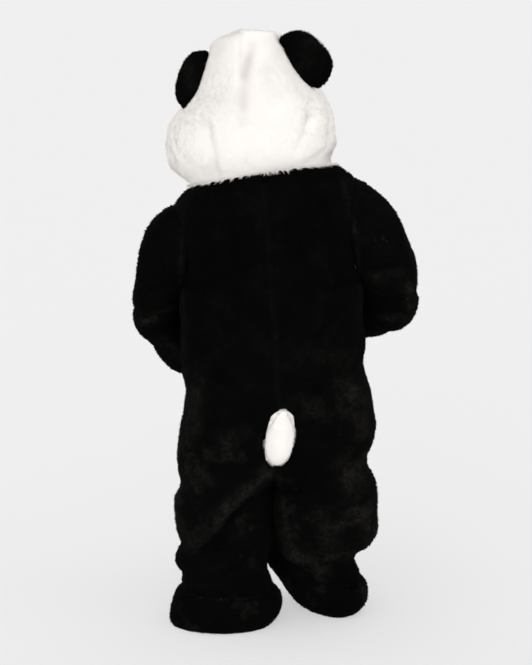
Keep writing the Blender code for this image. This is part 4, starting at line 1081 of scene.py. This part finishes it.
def panel_piece(side, half, seed):
    """Half the back or front, from the neck to the ankle."""
    s, drop = spread(PANEL_GRID, (0, 1), (0, ANKLE))
    s = s * (1 - armhole_reach(drop))
    s = s if half == "back" else 2 - s
    grid, normal = body(side, s, drop)
    edge = drop[:, -1]
    hole = (edge > ARMHOLE_TOP) & (edge < ARMHOLE_LOW)
    turn = np.arccos(np.clip((ARMHOLE_MIDDLE - edge) / ARMHOLE_HALF, -1, 1)) * (1 if half == "back" else -1)
    on_sleeve = sleeve(side, turn, NEAR_SEAM)[1]
    on_hood = hood(side, s[0] / 2, NEAR_SEAM)[1]
    ways = np.where(hole[:, None], mitre(normal[:, -1], on_sleeve), normal[:, -1])
    seamward = mitred(normal, grid, "end", ways)
    seamward = mitred(seamward, grid, "top", mitre(normal[0], on_hood) * in_seam(s[0]))
    grid = worked(grid, normal, BODY_CREASES, ("top", "start", "end", "bottom"), seed)
    closed_seam = (drop[:, 0] > ZIP_END + 0.003) | (half == "back")
    grid = lapped(grid, top=NECK_LAP, end=np.where(hole, HOLE_LAP, PANEL_LAP), bottom=LAP,
                  start=np.where(closed_seam, LAP, 0.0))
    dress(f"{half}_{side}", grid, seamward, "black", seed, 0.128)


def ankle_piece(side, seed):
    """The cuff over the foot, gathered a little by its elastic hem."""
    s, drop = spread(ANKLE_GRID, (0, 2), (ANKLE, HEM))
    grid, normal = body(side, s, drop)
    grid = lapped(worked(grid, normal, (), ("top",), seed), top=LAP)
    close_tube(grid, normal)
    dress(f"ankle_cuff_{side}", grid, normal, "black", seed, 0.0259, closed=True)


def sleeve_piece(side, seed):
    """A whole sleeve, from the armhole to the wrist cuff, in the place of its two nodes."""
    turn, share = spread(SLEEVE_GRID, ROUND, (0, 1))
    grid, normal = sleeve(side, turn, share)
    on_body, on_sleeve = armhole(side, turn[0])[1], sleeve(side, turn[0], NEAR_SEAM)[1]
    normal = mitred(normal, grid, "top", mitre(on_body, on_sleeve))
    grid = lapped(worked(grid, normal, SLEEVE_CREASES, ("top", "bottom"), seed), top=SLEEVE_LAP)
    close_tube(grid, normal)
    dress(f"sleeve_{side}", grid, normal, "black", seed, 0.080, closed=True)


def evenly(curve, count):
    """Numbers from 0 to 1 at which a curve has points equally far apart."""
    t = np.linspace(0, 1, 400)
    way = run(curve(t))
    return np.interp(np.linspace(0, way[-1], count), way, t)


def hood_piece(side, seed):
    """Half the hood, from its centre seam round to the face, with the fringe over its neck seam."""
    u, rise = spread(HOOD_GRID, (0, 1), (0, 1))
    rise[:] = evenly(lambda t: hood_ring(side, np.full_like(t, HOOD_EVEN_AT), t), len(u))[:, None]
    grid, normal = hood(side, u, rise)
    on_body, on_hood = body(side, 2 * u[0], 0)[1], hood(side, u[0], NEAR_SEAM)[1]
    normal = mitred(normal, grid, "top", mitre(on_body, on_hood) * in_seam(2 * u[0]))
    grid = worked(grid, normal, HOOD_CREASES, ("top", "start", "bottom"), seed, 0.3)
    grid = lapped(grid, top=NECK_LAP, start=LAP, bottom=LAP)
    neck_fringe(side, seed + 7)
    dress(f"hood_{side}", grid, normal, "white", seed, 0.066, wander=0.15)


def neck_fringe(side, seed):
    """The hood's pile where it hangs over the neck seam on to the black, in uneven tufts."""
    rng = np.random.default_rng(seed)
    u = np.repeat(rng.random(FRINGE_TUFTS), FRINGE_EACH)
    long = np.repeat(FRINGE_SHORT + FRINGE_MORE * rng.random(FRINGE_TUFTS) ** 2, FRINGE_EACH)
    below, out = body(side, 2 * u, long)
    roots = hood(side, np.clip(u + 0.0035 * rng.normal(size=len(u)), 0, 1), 0.02 * rng.random(len(u)))[0]
    ways = unit(below + out * 0.0045 - roots)
    strands("neck_fringe_" + side, roots, ways, out, long * 1.25, FRINGE_WIDE, "white", seed)


def wrist_piece(side):
    """The ribbed knit cuff, gathered into the sleeve's end and turned in at the wrist."""
    turn, share = spread(WRIST_GRID, ROUND, (1.0, 1.0 + CUFF_SHARE))
    grid, normal = sleeve(side, turn, share, CUFF_GATHERS)
    grid = grid - normal * KNIT_UNDER
    grid = grid + normal * (KNIT_SWELL * np.sin(np.pi * (share - 1) / CUFF_SHARE))[..., None]
    close_tube(grid, normal)
    cloth = owned(backing(f"cuff_{side}_knit", grid, normal, 0.0, KNIT_WALL, RIB, closed=True),
                  "onesie")
    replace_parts(cloth, f"cuff_{side}")


# ---------------------------------------------------------------- ears and tail

EAR_GRID, TAIL_GRID = (25, 41), (41, 25)
EAR_SINK = 0.002  # how far an ear's pile goes down into the hood's
RAY_FROM = 0.3  # how far behind the garment the tail's rays start
SEAM_FALL = 0.0008  # a ray that falls this much further than its neighbours went into a seam
TAIL_FRINGE, TAIL_STRAND = 900, 0.0062  # strands round the tail, and their length


def tree_of(*nodes):
    """A surface to drop points on to, made of several solids."""
    verts, faces = [], []
    for node in nodes:
        start = len(verts)
        verts += [v.co.copy() for v in NODES[node].data.vertices]
        faces += [tuple(i + start for i in p.vertices) for p in NODES[node].data.polygons]
    return BVHTree.FromPolygons(verts, faces)


def dropped(tree, place, direction, gap):
    """Each place moved along direction until it is a gap short of the surface."""
    direction = Vector(direction).normalized()
    out = np.empty(place.shape)
    for index in np.ndindex(place.shape[:-1]):
        start = Vector(place[index])
        distance = tree.ray_cast(start, direction)[3]
        if distance is None:
            distance = (tree.find_nearest(start)[0] - start).dot(direction)
        out[index] = start + direction * (distance - gap)
    return out


def stuffed(name, nodes, layers, kind, seed, lay):
    """A padded piece closed from its front and back grids, with pile on both."""
    middle = np.concatenate([layer.reshape(-1, 3) for layer in layers]).mean(axis=0)
    facing = [grid_normals(layer, layer - middle) for layer in layers]
    under = PLUSH[kind].length * PLUSH[kind].foot + 0.0002
    verts = np.concatenate([(layer - n * under).reshape(-1, 3) for layer, n in zip(layers, facing)])
    count = len(verts) // 2
    index = numbered(*layers[0].shape[:2])
    quads = np.stack(squares(index), axis=-1).reshape(-1, 4)
    edge = np.concatenate([index[0, :-1], index[:-1, -1], index[-1, :0:-1], index[:0:-1, 0]])
    after = np.roll(edge, -1)
    rim = np.stack([after, edge, edge + count, after + count], axis=-1)
    core = mesh_of(name, verts, np.concatenate([quads, quads[:, ::-1] + count, rim]), BACK[kind])
    pieces = [core]
    for number, (layer, normal) in enumerate(zip(layers, facing)):
        lays = np.broadcast_to(lay, layer.shape)
        pieces.append(pile(f"{name}_pile_{number}", layer, normal, kind, lays, seed + number))
    for obj in pieces:
        owned(obj, "onesie")
    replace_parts(core, *nodes)


def ear_piece(side, tree, seed):
    """A stuffed D of plush in two halves, on edge along the hood's slope."""
    base, along, out, length, height = EARS[side]
    along, out = unit(np.array(along)), unit(np.array(out))
    facing = unit(np.cross(along, out))
    facing = facing * np.sign(facing[1])
    across = np.sin(np.linspace(-1, 1, EAR_GRID[1]) * np.pi / 2 * 0.93)
    lift = np.sin(np.linspace(0, np.pi / 2, EAR_GRID[0])) ** 0.9
    tall = height * (1 - np.abs(across) ** EAR_SQUARE) ** (1 / EAR_SQUARE)
    plump = 0.16 + 0.84 * np.sqrt(1 - across[None, :] ** 2) * np.sqrt(1 - 0.97 * lift[:, None] ** 2)
    widening = 0.74 + 0.26 * ease(lift / 0.45)
    flat = np.array(base) + (widening[:, None] * across)[..., None] * length / 2 * along
    layers = []
    for way in (1, -1):
        start = flat + (way * plump * EAR_DEPTH / 2 * 0.9)[..., None] * facing
        foot = dropped(tree, start + out * height * 1.2, -out, EAR_SEAT - EAR_SINK)
        reach = (flat + tall[:, None] * out - foot) @ out
        layers.append(foot + (lift[:, None] * np.maximum(reach, 0.004))[..., None] * out)
    lay = out * 0.9 + np.array([0, 0, -0.3])
    stuffed(f"ear_{side}", [f"ear_{side}_back", f"ear_{side}_front"], layers, "black", seed, lay)


def without_seam(depth):
    """Depths on a surface, with those that fell through a seam put back to their neighbours'."""
    wide = np.pad(depth, 1, mode="edge")
    near = np.median([wide[:-2, 1:-1], wide[2:, 1:-1], wide[1:-1, :-2], wide[1:-1, 2:]], axis=0)
    return np.where(np.abs(depth - near) > SEAM_FALL, near, depth)


def tail_piece(tree, seed):
    """The stuffed tail, sewn over the centre back seam and hanging down the seat."""
    a, b = spread(TAIL_GRID, (-1, 1), (-1, 1))
    across, up = a * np.sqrt(1 - TAIL_ROUND * b * b), b * np.sqrt(1 - TAIL_ROUND * a * a)
    flat = np.array(TAIL_AT) + (across * TAIL_WIDE / 2 * 0.94)[..., None] * np.array([1.0, 0.0, 0.0])
    flat = flat + (up * TAIL_LONG / 2 * 0.96)[..., None] * unit(np.array(TAIL_LEAN))
    foot = dropped(tree, flat + np.array([0, RAY_FROM, 0]), (0, -1, 0), 0.0)
    foot[..., 1] = without_seam(foot[..., 1])
    plump = 0.10 + 0.90 * np.sqrt((1 - a * a) * (1 - b * b)) * (1 - 0.25 * up)
    outer = foot + (plump * TAIL_DEEP)[..., None] * unit(np.array([0, 1.0, -0.08]))
    lay = np.array([0.0, 0.1, -1.0])

    turn = np.random.default_rng(seed).random(TAIL_FRINGE) * 2 * np.pi  # the tail's edge, at random
    r, c = ((0.5 + 0.5 * trig(turn)) * 0.999 * size for trig, size in zip((np.sin, np.cos), TAIL_GRID))
    roots = outer[r.astype(int), c.astype(int)]
    ways = unit(roots - outer.mean(axis=(0, 1))) + 0.5 * lay
    strands("tail_fringe", roots - 0.002 * ways, ways, unit(ways * [1, 0, 1]), TAIL_STRAND, FRINGE_WIDE,
            "white", seed)
    stuffed("tail_plush", ["tail"], [outer, foot], "white", seed, lay)


# ---------------------------------------------------------------- the zip

TOOTH_PITCH = 0.0013
# A tooth's outline from above: across the zip in metres, and down it as a share of the pitch.
TOOTH = [(-0.0026, -0.34), (-0.0026, 0.34), (-0.0006, 0.30), (0.0000, 0.62), (0.0009, 0.52),
         (0.0012, 0.0), (0.0009, -0.52), (0.0000, -0.62), (-0.0006, -0.30)]
TOOTH_ROOT = -0.002  # what lies further out than this grips the tape
TOOTH_LEVELS = ((-CHAIN_DEEP, 1.0), (-0.0004, 1.0), (0.0, 0.80))  # how deep each is, and how wide its knob
TEETH_START, TEETH_STOP = 0.0024, 0.002  # how far the teeth stay from the ends of the zip's line
METAL_ROUNDING = 0.0002
BELOW_SLIDER, ABOVE_END = 0.003, 0.006  # no turn in the zip's line is nearer to the slider or the end


def levels():
    """The drops at which the body's panels have rows in the solids, from the neck to the seat."""
    shoulder = np.linspace(0, ARMHOLE_TOP, 4)[:-1]
    hole = ARMHOLE_MIDDLE - ARMHOLE_HALF * np.cos(np.arange(ARMHOLE_STEPS + 1) * np.pi / ARMHOLE_STEPS)
    return np.concatenate([shoulder, hole, np.linspace(ARMHOLE_LOW, SEAT, 11)[1:]])


def zip_line():
    """(places, outward directions) down the middle of the zip, on the chain's front face."""
    drops = np.concatenate([[SLIDER_AT, SLIDER_AT + SLIDER_LONG + BELOW_SLIDER], levels()[4:]])
    drops = np.append(drops[drops < ZIP_END - ABOVE_END], ZIP_END)
    ends = np.full_like(drops, 2.0)
    place = (ring(LEFT, ends, drops) + ring(RIGHT, ends, drops)) / 2
    n = ring_normal(LEFT, ends, drops) + ring_normal(RIGHT, ends, drops)
    out = unit(n * np.array([0.0, 1.0, 1.0]))
    return place - out * (BODY_WALL - CHAIN_PROUD), out


def zip_teeth():
    """Moulded teeth, gripping by turns from the two sides, down to the stop."""
    place, out = zip_line()
    way = run(place)
    at = np.arange(TEETH_START, way[-1] - TEETH_STOP, TOOTH_PITCH)
    here, up = (points(*(np.interp(at, way, column) for column in line.T)) for line in (place, out))
    up, down = unit(up), unit(np.gradient(here, axis=0))
    across = np.cross(up, down) * np.where(np.arange(len(at)) % 2 == 0, 1.0, -1.0)[:, None]
    verts = [
        here + across * (x * (1 if x < TOOTH_ROOT else grow)) + down * z * TOOTH_PITCH * grow + up * depth
        for depth, grow in TOOTH_LEVELS
        for x, z in TOOTH
    ]
    n, tops = len(TOOTH), len(TOOTH_LEVELS) - 1
    one = []
    for low in range(0, tops * n, n):
        for k in range(n):
            m = (k + 1) % n
            one += [(low + k, low + m, low + n + m), (low + k, low + n + m, low + n + k)]
    for k in range(1, n - 1):
        one += [(tops * n, tops * n + k, tops * n + k + 1), (0, k + 1, k)]
    start = np.arange(len(at))[:, None] * len(verts)
    faces = np.concatenate([start + np.array(face) for face in one])
    teeth = mesh_of("zip_teeth", np.stack(verts, axis=1).reshape(-1, 3), faces, PLASTIC, smooth_shading=False)
    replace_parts(owned(teeth, "onesie"), "zip_chain")


def finer(node, body_name, material, width=0.0, divide=0):
    """A copy of a hard CAD node with its edges rounded, or of a strip with more faces."""
    obj = linked(node + "_fine", NODES[node].data.copy())
    obj.data.materials.clear()
    obj.data.materials.append(material)
    if width:
        modifier = obj.modifiers.new("round", "BEVEL")
        modifier.width, modifier.segments, modifier.limit_method = width, 2, "ANGLE"
    if divide:
        modifier = obj.modifiers.new("finer", "SUBSURF")
        modifier.subdivision_type = "SIMPLE"
        modifier.levels = modifier.render_levels = divide
    shaped = bpy.data.meshes.new_from_object(obj.evaluated_get(bpy.context.evaluated_depsgraph_get()))
    obj.modifiers.clear()
    obj.data = shaped
    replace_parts(owned(obj, body_name), node)


# ---------------------------------------------------------------- the garment


def main():
    seeds = itertools.count(10, 20)
    for side in SIGN:
        for half in ("back", "front"):
            panel_piece(side, half, next(seeds))
        seed = next(seeds)
        sleeve_piece(side, seed + 1)
        ankle_piece(side, seed + 2)
        wrist_piece(side)
        hood_piece(side, seed + 4)
        finer("zip_tape_" + side, "onesie", TAPE, divide=1)
    crown = tree_of("hood_left", "hood_right")
    for side in SIGN:
        ear_piece(side, crown, next(seeds))
    tail_piece(tree_of("back_left", "back_right"), next(seeds))
    zip_teeth()
    for node, body_name in (("zip_slider", "onesie"), ("zip_pull", "pull_tab")):
        finer(node, body_name, METAL, width=METAL_ROUNDING)


main()

# ---------------------------------------------------------------- floor, light and camera

FLOOR_AT = CAD_BOX[0][2] - 0.0005
FLOOR_HALF = 30.0
FLOOR_TONE = 0.27  # the floor is a pale light table: it glows, so shadows on it stay faint
FLOOR_GLOW = 0.490
STUDIO_LIGHT = 1.16
WALL_TONE = 0.847  # the wall shows as bright as the floor
SUNS = {  # the way to each sun, its strength, and its width in degrees
    "key": ((0.3, 0.8, 1.3), 0.55, 60),
    "front": ((0.18, 1.0, 0.0), 1.60, 60),
    "side": ((-1.0, 0.45, 0.25), 0.5, 40),
}
FOCAL_PX, PHOTO_PX = 2330, 665  # the photo's focal length and height, in its pixels
SENSOR = 24.0
CAMERA_TILT = math.radians(13)
CAMERA_AWAY = 3.3
LOOK_AT = Vector((0.0035, 0, -0.226))


def floor():
    mesh = bpy.data.meshes.new("floor")
    ends = ((-1, -1), (1, -1), (1, 1), (-1, 1))
    mesh.from_pydata([(x * FLOOR_HALF, y * FLOOR_HALF, 0) for x, y in ends], [], [(0, 1, 2, 3)])
    obj = linked("floor", mesh)
    obj.location.z = FLOOR_AT
    material = bpy.data.materials.new("floor")
    material.use_nodes = True
    put(material.node_tree, material.node_tree.nodes["Principled BSDF"], {
        "Base_Color": (FLOOR_TONE, FLOOR_TONE, FLOOR_TONE, 1), "Roughness": 0.9, "Specular_IOR_Level": 0.0,
        "Emission_Color": (1, 1, 1, 1), "Emission_Strength": FLOOR_GLOW})
    mesh.materials.append(material)


def facing_back(name, data, back):
    """A sun or camera that looks the other way from back."""
    obj = linked(name, data)
    obj.rotation_mode = "QUATERNION"
    obj.rotation_quaternion = back.to_track_quat("Z", "Y")
    return obj


def suns():
    for name, (direction, strength, angle) in SUNS.items():
        data = bpy.data.lights.new(name, "SUN")
        data.energy = strength
        data.angle = math.radians(angle)
        facing_back(name, data, Vector(direction).normalized())


def world():
    """An even studio light, and the wall that the camera sees."""
    data = bpy.data.worlds.new("studio")
    data.use_nodes = True
    tree = data.node_tree
    light = tree.nodes["Background"]
    put(tree, light, {"Color": (1, 1, 1, 1), "Strength": STUDIO_LIGHT})
    wall = shading(tree, "Background", Color=(1, 1, 1, 1), Strength=WALL_TONE)
    mix = shading(tree, "MixShader", Fac=shading(tree, "LightPath").outputs["Is Camera Ray"])
    for socket, source in zip(mix.inputs[1:], (light, wall)):
        tree.links.new(source.outputs["Background"], socket)
    tree.links.new(mix.outputs["Shader"], tree.nodes["World Output"].inputs["Surface"])
    bpy.context.scene.world = data


def camera():
    data = bpy.data.cameras.new("camera")
    data.sensor_fit = "AUTO"
    data.sensor_width = SENSOR
    data.lens = FOCAL_PX * SENSOR / PHOTO_PX
    data.clip_end = 100
    back = Vector((0, math.cos(CAMERA_TILT), math.sin(CAMERA_TILT)))
    obj = facing_back("camera", data, back)
    obj.location = LOOK_AT + back * CAMERA_AWAY
    bpy.context.scene.camera = obj


floor()
world()
suns()
camera()
bpy.context.scene.view_settings.view_transform = "Standard"
